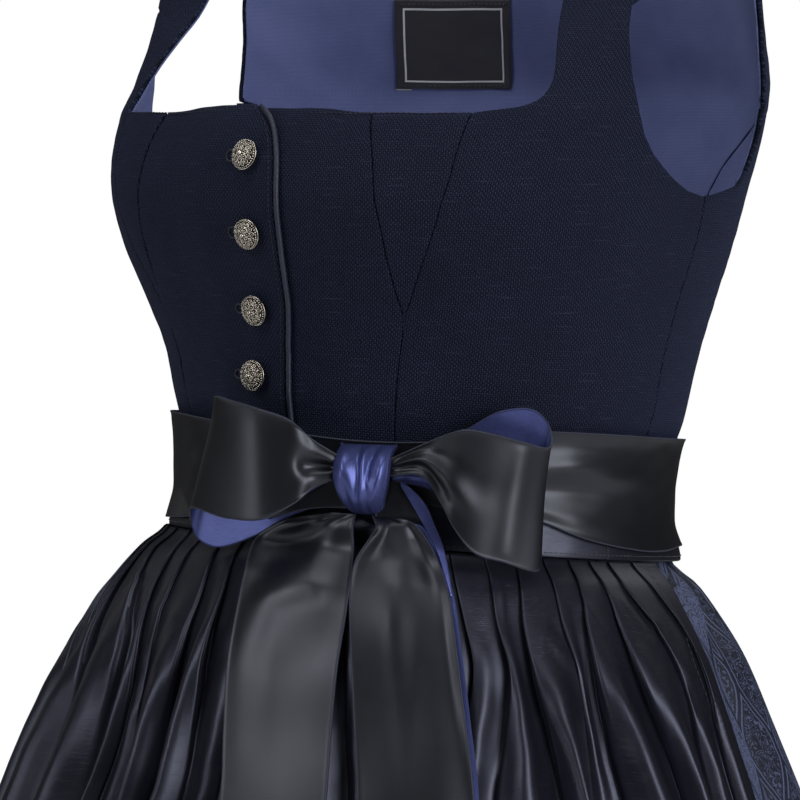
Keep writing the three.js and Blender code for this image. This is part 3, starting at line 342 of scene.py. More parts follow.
def tube(path, radius, sides=6, closed=False):
    """Points and faces of a round cord along a path."""
    path = np.asarray(path, float)
    count = len(path)
    ahead = unit(np.roll(path, -1, 0) - np.roll(path, 1, 0)) if closed else unit(np.gradient(path, axis=0))
    side = np.zeros_like(path)
    reference = np.array([0.0, 0, 1]) if abs(ahead[0][2]) < 0.9 else np.array([1.0, 0, 0])
    for i in range(count):
        reference = reference - ahead[i] * reference.dot(ahead[i])
        reference = reference / np.linalg.norm(reference)
        side[i] = reference
    other = np.cross(ahead, side)
    turn = np.arange(sides)[None, :] * 2 * math.pi / sides
    radii = np.broadcast_to(np.asarray(radius, float), (count,))[:, None, None]
    rings = path[:, None] + radii * (np.cos(turn)[..., None] * side[:, None] + np.sin(turn)[..., None]
        * other[:, None])
    index = np.arange(count * sides).reshape(count, sides)
    nxt = np.roll(index, -1, 1)
    if closed:
        a, b, c, d = index, nxt, np.roll(nxt, -1, 0), np.roll(index, -1, 0)
    else:
        a, b, c, d = index[:-1], nxt[:-1], nxt[1:], index[1:]
    faces = np.stack([a, b, c, d], -1).reshape(-1, 4)
    points = rings.reshape(-1, 3)
    if not closed:
        points = np.concatenate([points, path[:1], path[-1:]])
        first, last = count * sides, count * sides + 1
        caps = [[first, nxt[0, k], index[0, k], index[0, k]] for k in range(sides)]
        caps += [[last, index[-1, k], nxt[-1, k], nxt[-1, k]] for k in range(sides)]
        return points, faces, np.array(caps)[:, :3]
    return points, faces, np.zeros((0, 3), int)


class Trims:
    """Many small cords and beads joined into one mesh."""

    def __init__(self):
        self.points, self.quads, self.triangles, self.count = [], [], [], 0

    def add(self, points, quads, triangles=()):
        self.points.append(np.asarray(points, float))
        if len(quads):
            self.quads.append(np.asarray(quads) + self.count)
        if len(triangles):
            self.triangles.append(np.asarray(triangles) + self.count)
        self.count += len(points)
        return self

    def cord(self, path, radius, sides=6, closed=False):
        return self.add(*tube(path, radius, sides, closed))

    def bead(self, centre, radii, axes=np.eye(3), rings=6, sides=10):
        """A small rounded bead with three half sizes along three axes."""
        lat = np.linspace(0, math.pi, rings + 1)[1:-1]
        lon = np.arange(sides) * 2 * math.pi / sides
        ball = stack(np.sin(lat)[:, None] * np.cos(lon), np.sin(lat)[:, None] * np.sin(lon),
            np.cos(lat)[:, None] + 0 * lon).reshape(-1, 3)
        ball = np.concatenate([ball, [[0, 0, 1.0]], [[0, 0, -1.0]]]) * radii
        index = np.arange((rings - 1) * sides).reshape(rings - 1, sides)
        nxt = np.roll(index, -1, 1)
        quads = np.stack([index[:-1], index[1:], nxt[1:], nxt[:-1]], -1).reshape(-1, 4)
        top, bottom = (rings - 1) * sides, (rings - 1) * sides + 1
        caps = [[top, index[0, k], nxt[0, k]] for k in range(sides)] + [[bottom, nxt[-1, k], index[-1, k]]
            for k in range(sides)]
        return self.add(np.asarray(centre) + ball @ np.asarray(axes), quads, caps)

    def piece(self, name, materials):
        mesh = bpy.data.meshes.new(name)
        points = place(np.concatenate(self.points))
        faces = [f for q in self.quads for f in q.tolist()] + [f for t in self.triangles
            for f in t.tolist()]
        mesh.from_pydata(points.tolist(), [], faces)
        mesh.polygons.foreach_set("use_smooth", np.ones(len(faces), bool))
        mesh.update()
        piece = bpy.data.objects.new(name, mesh)
        bpy.context.scene.collection.objects.link(piece)
        mesh.materials.append(materials)
        return piece


# ------------------------------------------------------------------ finishes
class Nodes:
    """Adds nodes to a tree and links them. A value may be a number, a tuple or another node's socket."""

    def __init__(self, tree):
        self.tree = tree

    def add(self, kind, inputs=None, **settings):
        node = self.tree.nodes.new("ShaderNode" + kind)
        for name, value in settings.items():
            setattr(node, name, value)
        for name, value in (inputs or {}).items():
            self.put(node.inputs[name], value)
        return node

    def put(self, socket, value):
        if isinstance(value, bpy.types.NodeSocket):
            self.tree.links.new(value, socket)
        else:
            socket.default_value = value

    def math(self, operation, a, b=0.0, c=0.0):
        return self.add("Math", {0: a, 1: b, 2: c}, operation=operation).outputs[0]

    def times(self, a, b):
        return self.math("MULTIPLY", a, b)

    def times_plus(self, a, b, c):
        return self.math("MULTIPLY_ADD", a, b, c)

    def plus(self, a, b):
        return self.math("ADD", a, b)

    def minus(self, a, b):
        return self.math("SUBTRACT", a, b)

    def over(self, a, b):
        return self.math("DIVIDE", a, b)

    def greater(self, a, b):
        return self.math("MAXIMUM", a, b)

    def mix(self, share, a, b):
        """Colour a where share is 0 and b where it is 1."""
        node = self.add("Mix", data_type="RGBA")
        for socket, value in ((node.inputs[0], share), (node.inputs[6], a), (node.inputs[7], b)):
            self.put(socket, value if isinstance(value, (bpy.types.NodeSocket, float))
                else (*value, 1.0)[:4])
        return node.outputs[2]

    def between(self, value, low, high, to_low=0.0, to_high=1.0, soft=True):
        node = self.add("MapRange", {"Value": value, "From Min": low, "From Max": high, "To Min": to_low,
            "To Max": to_high},
                        interpolation_type="SMOOTHSTEP" if soft else "LINEAR")
        return node.outputs[0]

    def noise(self, place_socket, scale, detail=2.0, rough=0.5, distortion=0.0):
        node = self.add("TexNoise", {"Vector": place_socket, "Scale": scale, "Detail": detail,
            "Roughness": rough, "Distortion": distortion})
        return node.outputs["Fac"]

    def scaled(self, vector, by):
        return self.add("VectorMath", {0: vector, 1: by}, operation="MULTIPLY").outputs[0]

    def moved(self, vector, by):
        return self.add("VectorMath", {0: vector, 1: by}, operation="ADD").outputs[0]

    def parts(self, vector):
        node = self.add("SeparateXYZ", {0: vector})
        return node.outputs[0], node.outputs[1]

    def group(self, tree, **inputs):
        node = self.tree.nodes.new("ShaderNodeGroup")
        node.node_tree = tree
        for name, value in inputs.items():
            self.put(node.inputs[name.replace("_", " ")], value)
        return node.outputs


def effect(name, inputs, outputs):
    """A new effect group with sockets {name: kind}. Returns its tree, a Nodes on it, and both its ends."""
    tree = bpy.data.node_groups.new(name, "ShaderNodeTree")
    for side, sockets in (("INPUT", inputs), ("OUTPUT", outputs)):
        for socket, kind in sockets.items():
            tree.interface.new_socket(socket, in_out=side, socket_type="NodeSocket" + kind)
    given, result = tree.nodes.new("NodeGroupInput").outputs, tree.nodes.new("NodeGroupOutput").inputs
    return tree, Nodes(tree), given, result


def make_weave():
    """Plain weave: Height of the threads, and Warp, which is 1 where an upright thread is on top."""
    tree, n, given, result = effect("plain weave", {"Place": "Vector", "Thread": "Float",
        "Unevenness": "Float"},
                                    {"Height": "Float", "Warp": "Float"})
    wander = n.noise(given["Place"], 0.35, 3.0)
    shifted = n.times(n.minus(wander, 0.5), given["Unevenness"])
    u, v = n.parts(given["Place"])
    across = n.times(n.over(n.plus(u, shifted), given["Thread"]), math.pi)
    upward = n.times(n.over(n.plus(v, shifted), given["Thread"]), math.pi)
    cos_u, cos_v = n.math("COSINE", across), n.math("COSINE", upward)
    over = n.times(cos_u, cos_v)
    warp = n.times(n.math("ABSOLUTE", cos_u), n.times_plus(over, 0.42, 0.58))
    weft = n.times(n.math("ABSOLUTE", cos_v), n.times_plus(over, -0.42, 0.58))
    n.put(result["Height"], n.greater(warp, weft))
    n.put(result["Warp"], n.between(n.minus(warp, weft), -0.08, 0.08))
    return tree


def make_slubs():
    """Thick places in the yarn: long thin streaks across or up the cloth, from 0 to 1."""
    tree, n, given, result = effect("slubs", {"Place": "Vector", "Length": "Float", "Width": "Float",
        "Share": "Float"}, {"Slub": "Float"})
    u, v = n.parts(given["Place"])
    stretched = n.add("CombineXYZ", {0: n.over(u, given["Length"]),
        1: n.over(v, given["Width"])}).outputs[0]
    n.put(result["Slub"], n.between(n.noise(stretched, 1.0, 1.0, 0.4), n.minus(0.78, given["Share"]),
        n.minus(0.9, given["Share"])))
    return tree


def make_selvedge():
    """The fine overcast edge of a ribbon: Edge is 1 on it, Height gives its rolled rim and its threads."""
    tree, n, given, result = effect("overcast edge", {"Place": "Vector", "From edge": "Float",
        "Width": "Float"}, {"Edge": "Float", "Height": "Float"})
    on_edge = n.minus(1.0, n.between(given["From edge"], n.times(given["Width"], 0.8), given["Width"]))
    u, _ = n.parts(given["Place"])
    thread = n.math("ABSOLUTE", n.math("SINE", n.times(u, math.pi / 0.8)))
    n.put(result["Edge"], on_edge)
    n.put(result["Height"], n.times(on_edge, n.times_plus(thread, 0.5, 0.5)))
    return tree


WEAVE, SLUBS, SELVEDGE = make_weave(), make_slubs(), make_selvedge()


def finish(name, metallic=0.0, specular=0.5, sheen=0.0, sheen_roughness=0.5, sheen_tint=(1, 1, 1),
        specular_tint=(1, 1, 1)):
    """A new material. Returns it, its Nodes, its shader and the cloth's place in millimetres."""
    material = bpy.data.materials.new(name)
    material.use_nodes = True
    nodes = Nodes(material.node_tree)
    shader = material.node_tree.nodes["Principled BSDF"]
    for socket, value in {"Metallic": metallic, "Specular IOR Level": specular, "Sheen Weight": sheen,
            "Sheen Roughness": sheen_roughness,
                          "Sheen Tint": (*sheen_tint, 1), "Specular Tint": (*specular_tint, 1)}.items():
        shader.inputs[socket].default_value = value
    place_socket = nodes.add("UVMap", uv_map="cloth").outputs[0]
    return material, nodes, shader, place_socket


def bump(n, shader, height, distance, strength=1.0):
    """Feeds a height in millimetres of distance into the shader's normal."""
    node = n.add("Bump", {"Height": height, "Distance": distance / 1000, "Strength": strength})
    n.put(shader.inputs["Normal"], node.outputs[0])


def linen_finish():
    material, n, shader, at = finish("navy_linen", specular=0.16, sheen=0.07, sheen_roughness=0.45,
        sheen_tint=(0.35, 0.45, 1.0))
    weave = n.group(WEAVE, Place=at, Thread=1.05, Unevenness=0.9)
    across = n.group(SLUBS, Place=at, Length=15.0, Width=0.8, Share=0.15)["Slub"]
    upright = n.group(SLUBS, Place=n.moved(at, (37.0, 11.0, 0)), Length=0.75, Width=22.0, Share=0.1)["Slub"]
    slub = n.greater(across, n.times(upright, 0.5))
    yarn = n.mix(weave["Warp"], (0.0052, 0.0078, 0.022), (0.0205, 0.0262, 0.062))
    cloudy = n.between(n.noise(at, 0.02, 3.0), 0.3, 0.7)
    yarn = n.mix(n.times(cloudy, 0.35), yarn, (0.0068, 0.0088, 0.022))
    # Painted shade: the gaps between the threads, where the weave is low, are mixed towards near black.
    painted_gap_shade_mask = n.between(weave["Height"], 0.25, 0.7)
    yarn = n.mix(painted_gap_shade_mask, (0.0016, 0.0023, 0.0065), yarn)
    n.put(shader.inputs["Base Color"], n.mix(n.times(slub, 0.36), yarn, (0.036, 0.044, 0.088)))
    n.put(shader.inputs["Roughness"], n.between(weave["Height"], 0.2, 1.0, 0.92, 0.66))
    bump(n, shader, n.times_plus(slub, 0.25, weave["Height"]), 0.42)
    return material


def lining_finish():
    material, n, shader, at = finish("blue_cotton_lining", specular=0.2, sheen=0.25, sheen_roughness=0.5,
        sheen_tint=(0.7, 0.75, 1.0))
    weave = n.group(WEAVE, Place=at, Thread=0.7, Unevenness=0.4)
    slub = n.group(SLUBS, Place=at, Length=9.0, Width=0.5, Share=0.2)["Slub"]
    cloudy = n.noise(at, 0.035, 4.0)
    # The lining's blue is its own colour set lighter, as painted fill light for the light that doesn't reach
    # inside the bodice.
    yarn = n.mix(n.between(cloudy, 0.3, 0.7), (0.135, 0.165, 0.37), (0.18, 0.212, 0.45))
    yarn = n.mix(n.times(slub, 0.25), yarn, (0.24, 0.27, 0.52))
    # Painted shade: the gaps between the threads, where the weave is low, are darkened to a deeper blue.
    n.put(shader.inputs["Base Color"], n.mix(n.between(weave["Height"], 0.2, 0.6), (0.085, 0.105, 0.25),
        yarn))
    n.put(shader.inputs["Roughness"], n.between(cloudy, 0.2, 0.8, 0.72, 0.88))
    bump(n, shader, weave["Height"], 0.1)
    return material


def satin_finish(name, dark, light, roughness, edge_colour, gloss, metallic=0.0):
    """Satin ribbon with an overcast edge; dark and light are its yarn in the dips and on the floats."""
    material, n, shader, at = finish(name, metallic=metallic, specular=0.7, specular_tint=gloss)
    from_edge = n.add("Attribute", attribute_name="from_edge").outputs["Fac"]
    edge = n.group(SELVEDGE, Place=at, From_edge=from_edge, Width=0.75)
    floats = n.noise(n.scaled(at, (0.25, 5.5, 1)), 1.0, 2.0, 0.6)
    cloudy = n.noise(at, 0.05, 3.0)
    yarn = n.mix(n.between(floats, 0.3, 0.7), dark, light)
    n.put(shader.inputs["Base Color"], n.mix(edge["Edge"], yarn, edge_colour))
    body = n.times_plus(n.minus(cloudy, 0.5), 0.08, n.times_plus(n.minus(floats, 0.5), 0.1, roughness))
    n.put(shader.inputs["Roughness"], n.times_plus(edge["Edge"], 0.2, body))
    bump(n, shader, n.times_plus(floats, 0.06, edge["Height"]), 0.3)
    return material


def apron_finish():
    material, n, shader, at = finish("black_taffeta", specular=0.72, specular_tint=(0.7, 0.74, 1.0))
    slub = n.group(SLUBS, Place=at, Length=14.0, Width=0.45, Share=0.19)["Slub"]
    specks = n.group(SLUBS, Place=n.moved(at, (71.0, 5.0, 0)), Length=1.6, Width=0.7, Share=0.08)["Slub"]
    ribs = n.noise(n.scaled(at, (0.16, 3.4, 1)), 1.0, 3.0, 0.6)
    yarn = n.mix(n.between(ribs, 0.3, 0.7), (0.0036, 0.0037, 0.0065), (0.0072, 0.0073, 0.0125))
    n.put(shader.inputs["Base Color"], n.mix(n.times(n.greater(slub, specks), 0.14), yarn,
        (0.026, 0.027, 0.04)))
    n.put(shader.inputs["Roughness"], n.between(ribs, 0.25, 0.75, 0.36, 0.42))
    bump(n, shader, n.times_plus(slub, 0.4, ribs), 0.05)
    return material


def skirt_finish():
    """Jacquard: pointed leaves filled with fine scrolls between double dark lines, and wide dark bands with
    ringed rosettes between every other pair of leaves."""
    material, n, shader, at = finish("paisley_jacquard", specular=0.4, sheen=0.12, sheen_roughness=0.4,
        sheen_tint=(0.5, 0.6, 1.0))
    wide, tall = 23.0, 66.0
    wander = n.times(n.minus(n.noise(at, 0.03, 2.0), 0.5), 4.0)
    u, v = n.parts(at)
    across = n.over(n.plus(u, wander), wide)
    upward = n.over(n.plus(v, wander), tall)
    wave = n.times(n.math("SINE", n.times(upward, 2 * math.pi)), 0.26)
    # Two families of wavy lines half a motif apart close into leaves; distances from them are in millimetres.
    leaning, other_line = n.plus(across, wave), n.minus(n.plus(across, 0.5), wave)
    one = n.times(n.math("PINGPONG", leaning, 0.5), wide)
    other = n.times(n.math("PINGPONG", other_line, 0.5), wide)
    near = n.math("MINIMUM", one, other)
    filigree = n.math("ABSOLUTE", n.math("SINE", n.times(n.noise(at, 0.22, 1.0, 0.45, 0.8), 20.0)))
    filled = n.times_plus(n.between(filigree, 0.25, 0.6), 0.85, 0.15)
    leaf = n.times_plus(n.between(near, 3.3, 3.6), n.minus(filled, 1.0), 1.0)
    fine_line = n.times(n.between(near, 1.8, 2.0), n.between(near, 2.6, 2.8, 1.0, 0.0))
    core = n.between(near, 0.85, 1.05, 1.0, 0.0)
    dark = n.greater(core, n.times(fine_line, 0.85))
    # Every other leaning line widens into a dark band with a light edge.
    odd = n.math("GREATER_THAN", n.math("PINGPONG", n.times_plus(leaning, 0.5, 0.25), 0.5), 0.25)
    band = n.times(odd, n.between(one, 2.5, 2.8, 1.0, 0.0))
    dark = n.greater(dark, n.times(band, n.minus(1.0, n.times(n.between(one, 0.15, 0.4, 1.0, 0.0), 0.5))))
    light = n.times(leaf, n.minus(1.0, dark))
    scrolls = n.times(n.between(near, 2.9, 3.2), n.between(filigree, 0.3, 0.55, 0.8, 0.0))
    outline = n.times(n.between(near, 1.0, 1.2), n.between(near, 1.9, 2.2, 1.0, 0.0))
    deep = n.between(n.math("ABSOLUTE", u), 112.0, 118.0, 1.0, 0.0)
    light = n.times_plus(deep, n.minus(n.greater(scrolls, outline), light), light)
    cells = n.add("TexVoronoi", {"Vector": at, "Scale": 0.026, "Randomness": 0.6}, feature="F1")
    cell = cells.outputs["Distance"]
    rings = n.between(n.math("SINE", n.times(cell, 120.0)), -0.5, 0.1)
    light = n.times_plus(n.minus(n.times(rings, 0.9), light), n.between(cell, 0.2, 0.21, 1.0, 0.0), light)
    ring_line = n.times(n.between(cell, 0.2, 0.21), n.between(cell, 0.235, 0.245, 1.0, 0.0))
    light = n.times(light, n.minus(1.0, ring_line))
    twill = n.times_plus(n.math("SINE", n.times(n.plus(u, v), 2 * math.pi / 0.7)), 0.5, 0.5)
    figure = n.mix(n.times(twill, 0.4), (0.074, 0.09, 0.175), (0.048, 0.06, 0.12))
    ground = n.mix(n.between(n.noise(at, 0.5, 2.0), 0.35, 0.65), (0.005, 0.007, 0.017),
        (0.0095, 0.0125, 0.027))
    n.put(shader.inputs["Base Color"], n.mix(light, ground, figure))
    n.put(shader.inputs["Roughness"], n.between(light, 0.0, 1.0, 0.5, 0.62, soft=False))
    bump(n, shader, n.times_plus(twill, 0.3, light), 0.12)
    return material


def label_finish():
    """A black woven label with a plain light frame line and nothing inside it."""
    material, n, shader, at = finish("woven_label", specular=0.35, sheen=0.3, sheen_roughness=0.4)
    u, v = n.parts(at)
    ribs = n.times_plus(n.math("SINE", n.times(v, 2 * math.pi / 0.5)), 0.5, 0.5)
    beside = n.minus(n.math("ABSOLUTE", u), LABEL_HALF[0])
    above = n.minus(n.math("ABSOLUTE", v), LABEL_HALF[1])
    from_line = n.math("ABSOLUTE", n.plus(n.greater(beside, above), FRAME_LINE_IN))
    line = n.between(from_line, 0.34, 0.58, 1.0, 0.0)
    thread = n.mix(ribs, (0.028, 0.0276, 0.033), (0.052, 0.051, 0.06))
    white = n.mix(ribs, (0.66, 0.66, 0.68), (0.86, 0.86, 0.88))
    n.put(shader.inputs["Base Color"], n.mix(line, thread, white))
    n.put(shader.inputs["Roughness"], n.between(ribs, 0.0, 1.0, 0.7, 0.5, soft=False))
    bump(n, shader, n.times_plus(line, 0.8, ribs), 0.1)
    return material


def plain_finish(name, colour, varied, roughness, metallic=0.0, grain=900.0, depth=0.1, specular=0.5,
        sheen=0.0):
    """Small trims that carry no cloth place: grain and colour vary with the object's own place."""
    material, n, shader, _ = finish(name, metallic=metallic, specular=specular, sheen=sheen)
    at = n.add("TexCoord").outputs["Object"]
    speckle = n.noise(at, grain, 3.0)
    n.put(shader.inputs["Base Color"], n.mix(n.between(speckle, 0.3, 0.7), colour, varied))
    n.put(shader.inputs["Roughness"], n.between(speckle, 0.3, 0.7, roughness * 0.8, roughness * 1.15))
    bump(n, shader, speckle, depth)
    return material


LABEL_HALF, FRAME_LINE_IN = (30.0, 21.5), 4.2  # half the label, and how far inside it the line runs
linen = linen_finish()
lining = lining_finish()
black_satin = satin_finish("black_satin", (0.0028, 0.0029, 0.0042), (0.0056, 0.0057, 0.0082), 0.39,
    (0.02, 0.023, 0.04), (0.82, 0.86, 1.0))
navy_satin = satin_finish("navy_satin", (0.058, 0.069, 0.205), (0.098, 0.118, 0.33), 0.35,
    (0.05, 0.06, 0.16), (0.5, 0.6, 1.0), 0.6)
RIBBON_SIDES = [black_satin, navy_satin]
taffeta = apron_finish()
jacquard = skirt_finish()
label_cloth = label_finish()
piping_cloth = plain_finish("piping_sateen", (0.008, 0.0105, 0.028), (0.015, 0.019, 0.044), 0.5,
    grain=1500.0, depth=0.15, sheen=0.04)
navy_thread = plain_finish("navy_thread", (0.006, 0.0078, 0.018), (0.013, 0.0165, 0.036), 0.6, grain=4000.0,
    depth=0.1, sheen=0.05)
black_thread = plain_finish("black_thread", (0.012, 0.012, 0.015), (0.03, 0.03, 0.036), 0.55, grain=4000.0,
    depth=0.1, sheen=0.3)
white_thread = plain_finish("white_thread", (0.5, 0.5, 0.5), (0.7, 0.7, 0.7), 0.7, grain=4000.0, depth=0.1)
bright_metal = plain_finish("antique_silver", (0.66, 0.62, 0.55), (0.5, 0.46, 0.39), 0.24, metallic=1.0,
    grain=1400.0, depth=0.08)
dark_metal = plain_finish("blackened_silver", (0.02, 0.018, 0.015), (0.05, 0.045, 0.038), 0.5, metallic=1.0,
    grain=1800.0, depth=0.1)


# ------------------------------------------------------------------ bodice panels
EDGE_STEPS = np.array([0, 0.2, 0.5, 0.95, 1.7])
ARC_ANGLES = np.arange(-182, 183.0)


def rounded(distance, radius=0.9):
    """How far a turned edge falls away at a distance inside it."""
    inside = radius - np.clip(distance, 0, radius)
    return radius - np.sqrt(radius**2 - inside**2)


def degrees_for(edge, at, margin):
    """Degrees that keep a margin from an edge, measured square to the edge."""
    width = torso["width"](at)
    slope = width * np.radians(edge(at + 0.5) - edge(at - 0.5))
    return np.degrees(margin / width * np.hypot(1, np.minimum(np.abs(slope), 6)))


def swell(points):
    """The linen's slight unevenness, which dies out under the belt and at the shoulders."""
    calm = smoothstep(points[..., 2], 56, 95) * (1 - smoothstep(points[..., 2], 330, 380))
    across, up = points[..., 0], points[..., 2]
    return calm * (0.55 * waves(across, up, 42, seed=11) + 0.16 * waves(across, up, 13, seed=5))


def cloth_place(angles, at, middle):
    """The cloth's own place of each point: across from the panel's middle line, and up along it."""
    u, v, length = np.zeros_like(angles), np.zeros_like(angles), 0.0
    before = None
    for i, height in enumerate(at[:, 0]):
        ring = bodice_point(ARC_ANGLES, height)
        arc = distance_along(ring)
        u[i] = np.interp(angles[i], ARC_ANGLES, arc) - np.interp(middle(height), ARC_ANGLES, arc)
        here = bodice_point(middle(height), height)
        length += 0 if before is None else float(np.linalg.norm(here - before))
        v[i] = length
        before = here
    return np.stack([u, v], -1)


def panel(heights, start, end, columns, middle, margins=(SEAM_HALF, SEAM_HALF), offset=0.0, wall=LINEN,
        lift=None,
          inner_face=False, top=None, open_top=None, pucker=(0, 0)):
    """One panel between two edges, each an angle for every length up. top is the length of a turned upper
    edge, open_top a mask of where it is open, and pucker the depth of the ripples along each side seam."""
    at = np.array(sorted(set(heights)), float)[:, None]
    first = start(at) + degrees_for(start, at, margins[0])
    last = np.maximum(end(at) - degrees_for(end, at, margins[1]), first + 0.1)
    step_first, step_last = degrees_for(start, at, 1.0), degrees_for(end, at, 1.0)
    squeeze = np.minimum(1, (last - first) / (2.2 * EDGE_STEPS[-1] * np.maximum(step_first, step_last)))
    low, high = first + EDGE_STEPS * step_first * squeeze, last - EDGE_STEPS[::-1] * step_last * squeeze
    between = np.linspace(0, 1, columns + 1)[1:-1]
    angles = np.concatenate([low, lerp(low[:, -1:], high[:, :1], between), high], 1)
    from_first = (angles - first) / step_first
    from_last = (last - angles) / step_last
    dip = np.maximum(rounded(from_first), rounded(from_last))
    if top is not None:
        over = rounded(top - at)
        over = over if open_top is None else over * open_top(angles, at)
        dip = np.maximum(dip, over)
    points, normals = bodice_point(angles, at), bodice_normal(angles, at)
    raised = offset + swell(points) + (0 if lift is None else lift(points))
    for depth, distance in zip(pucker, (from_first, from_last)):
        ripple = np.sin(at * 2 * math.pi / 8.5 + 1.5 * waves(points[..., 0], at, 25, seed=9))
        raised = raised + depth * np.exp(-distance / 5) * ripple
    outer = points + normals * (raised - (0 if inner_face else dip))[..., None]
    inner = points + normals * (raised - wall + (dip * 0.5 if inner_face else 0))[..., None]
    return outer, inner, cloth_place(angles, at, middle)


RIGHT_CUT = (160.0, 45.0)  # the right pieces are cut from another place of the cloth


def joined(flip):
    """Adds grids to a Cloth, mirrored to the wearer's right if flip."""

    def add(cloth, grid):
        outer, inner, uv = grid
        if flip:
            outer, inner = mirrored(outer), mirrored(inner)
            uv = uv[:, ::-1] * (-1, 1) + RIGHT_CUT
        return cloth.add(outer, inner, uv)

    return add


def mirrored(points):
    """The other side: the front of the right strap stands a little wider above the armhole."""
    x, y, z = points[..., 0], points[..., 1], points[..., 2]
    above_armhole = smoothstep(z, 226, 266) * (1 - smoothstep(z, 320, 380))
    ease = 10 * smoothstep(x, 100, 150) * (1 - smoothstep(y, -10, 20)) * above_armhole
    return stack(-x - ease, y, z)[:, ::-1]


def rows_to(low, high, step, *extra):
    return list(np.linspace(low, high, max(2, round((high - low) / step) + 1))) + list(extra)


SIDES = (("left", False), ("right", True))
TOP_ROWS = [NECK_HEIGHT - s for s in EDGE_STEPS]


def lap_lift(points):
    return LAP_RISE * smoothstep(points[..., 0], -48, -17)


def neck_inner(side):
    return lambda at: angle_at(neck_edge[side](at), at)


def side_front_start(side):
    inner = neck_inner(side)

    def start(at):
        share = np.clip((at - 203) / 2, 0, 1)
        return lerp(gusset_back(at), inner(np.maximum(at, 205)), share)

    return start


def front_outer(side):
    def end(at):
        armhole = np.where(at <= 252, armhole_front(at), angle_at(strap_front[side](at), at))
        return np.where(at <= 165, side_seam(at), armhole)

    return end


def back_outer(side):
    def start(at):
        armhole = np.where(at <= 256, armhole_back[side](at), angle_at(strap_back[side](at), at, True))
        share = np.clip((at - 208) / 8, 0, 1)
        return np.where(at <= 208, back_seam[side](at), lerp(back_seam[side](208.0), armhole, share))

    return start


def underlap_edge(at):
    return angle_at(UNDERLAP, at)


def steady(angle):
    """An edge or a middle line at one angle all the way up."""
    return lambda at: angle + 0 * at


def back_inner(at):
    return angle_at(back_neck(at), at, True)


def side_back_start(side):
    return lambda at: np.where(at <= 165, side_seam(at), armhole_back[side](at))


STEEP_ROWS = [165, 165.7, 166.5, 167.5, 168, 169, 170.5, 173, 176, 180, 203, 203.4, 203.8, 204.2, 204.6,
    205, 205.5, 206, 207, 208, 209.5, 211, 213]


NECKLINE_DIP = 1.75


def neckline_dip(grid):
    """Lowers the neckline evenly to the tops of the gussets."""
    for points in grid[:2]:
        by_the_gusset = smoothstep(np.abs(points[..., 0]), 34, 66)
        points[..., 2] -= NECKLINE_DIP * by_the_gusset * smoothstep(points[..., 2], 188, 205)


def build_bodice():
    centre_rows = rows_to(WAIST_SEAM, 203, 3, *TOP_ROWS)
    under = panel(centre_rows, underlap_edge, gusset_front, 26, steady(12.0), top=NECK_HEIGHT,
        pucker=(0, 0.1))
    neckline_dip(under)
    sew(Cloth().add(*under), "front_left_centre", linen)
    lap = panel(centre_rows, lambda at: -gusset_front(at), lambda at: angle_at(lap_edge(at), at), 30,
        steady(-10.0),
                lift=lap_lift, top=NECK_HEIGHT, pucker=(0.1, 0))
    neckline_dip(lap)
    sew(Cloth().add(*lap), "front_right_centre", linen)
    for side, flip in SIDES:
        add = joined(flip)
        gusset = panel(rows_to(113.2, 203, 2.6, 203), gusset_front, gusset_back, 14,
            lambda at: (gusset_front(at) + gusset_back(at)) / 2,
                       top=203.0 + SEAM_HALF, pucker=(0.1, 0.1))
        sew(add(Cloth(), gusset), f"front_{side}_gusset", linen)
        front = panel(rows_to(WAIST_SEAM, STRAP_TOP, 3, *STEEP_ROWS), side_front_start(side),
            front_outer(side), 38, steady(62.0), pucker=(0.1, 0.1))
        sew(add(Cloth(), front), f"front_{side}_side", linen)
        side_back = panel(rows_to(WAIST_SEAM, 207, 3, *[r for r in STEEP_ROWS if r <= 207]),
            side_back_start(side), back_seam[side], 22,
                          steady(125.0), pucker=(0.1, 0.1))
        sew(add(Cloth(), side_back), f"back_{side}_side", linen)
    back = Cloth()
    body_rows = rows_to(WAIST_SEAM, BACK_NECK_HEIGHT, 3, 204, 206, 208,
        *[BACK_NECK_HEIGHT - s for s in EDGE_STEPS])
    strap_rows = rows_to(BACK_NECK_HEIGHT, STRAP_TOP, 3.5, 271, 272, 273.5, 276, 279)

    def off_the_strap(angles, at):
        return 1 - smoothstep(np.abs(bodice_point(angles, at)[..., 0]), 88, 92)

    for side, flip in SIDES:
        add = joined(flip)
        half = panel(body_rows, back_outer(side), steady(180.0), 34, steady(180.0), margins=(SEAM_HALF, 0),
            top=BACK_NECK_HEIGHT,
                     open_top=off_the_strap, pucker=(0.1, 0))
        for points in half[:2]:
            points[:, -1, 0] = 0
        add(back, half)
        add(back, panel(strap_rows, back_outer(side), back_inner, 14, steady(132.0),
            margins=(SEAM_HALF, 0)))
    sew(back, "back_centre", linen)


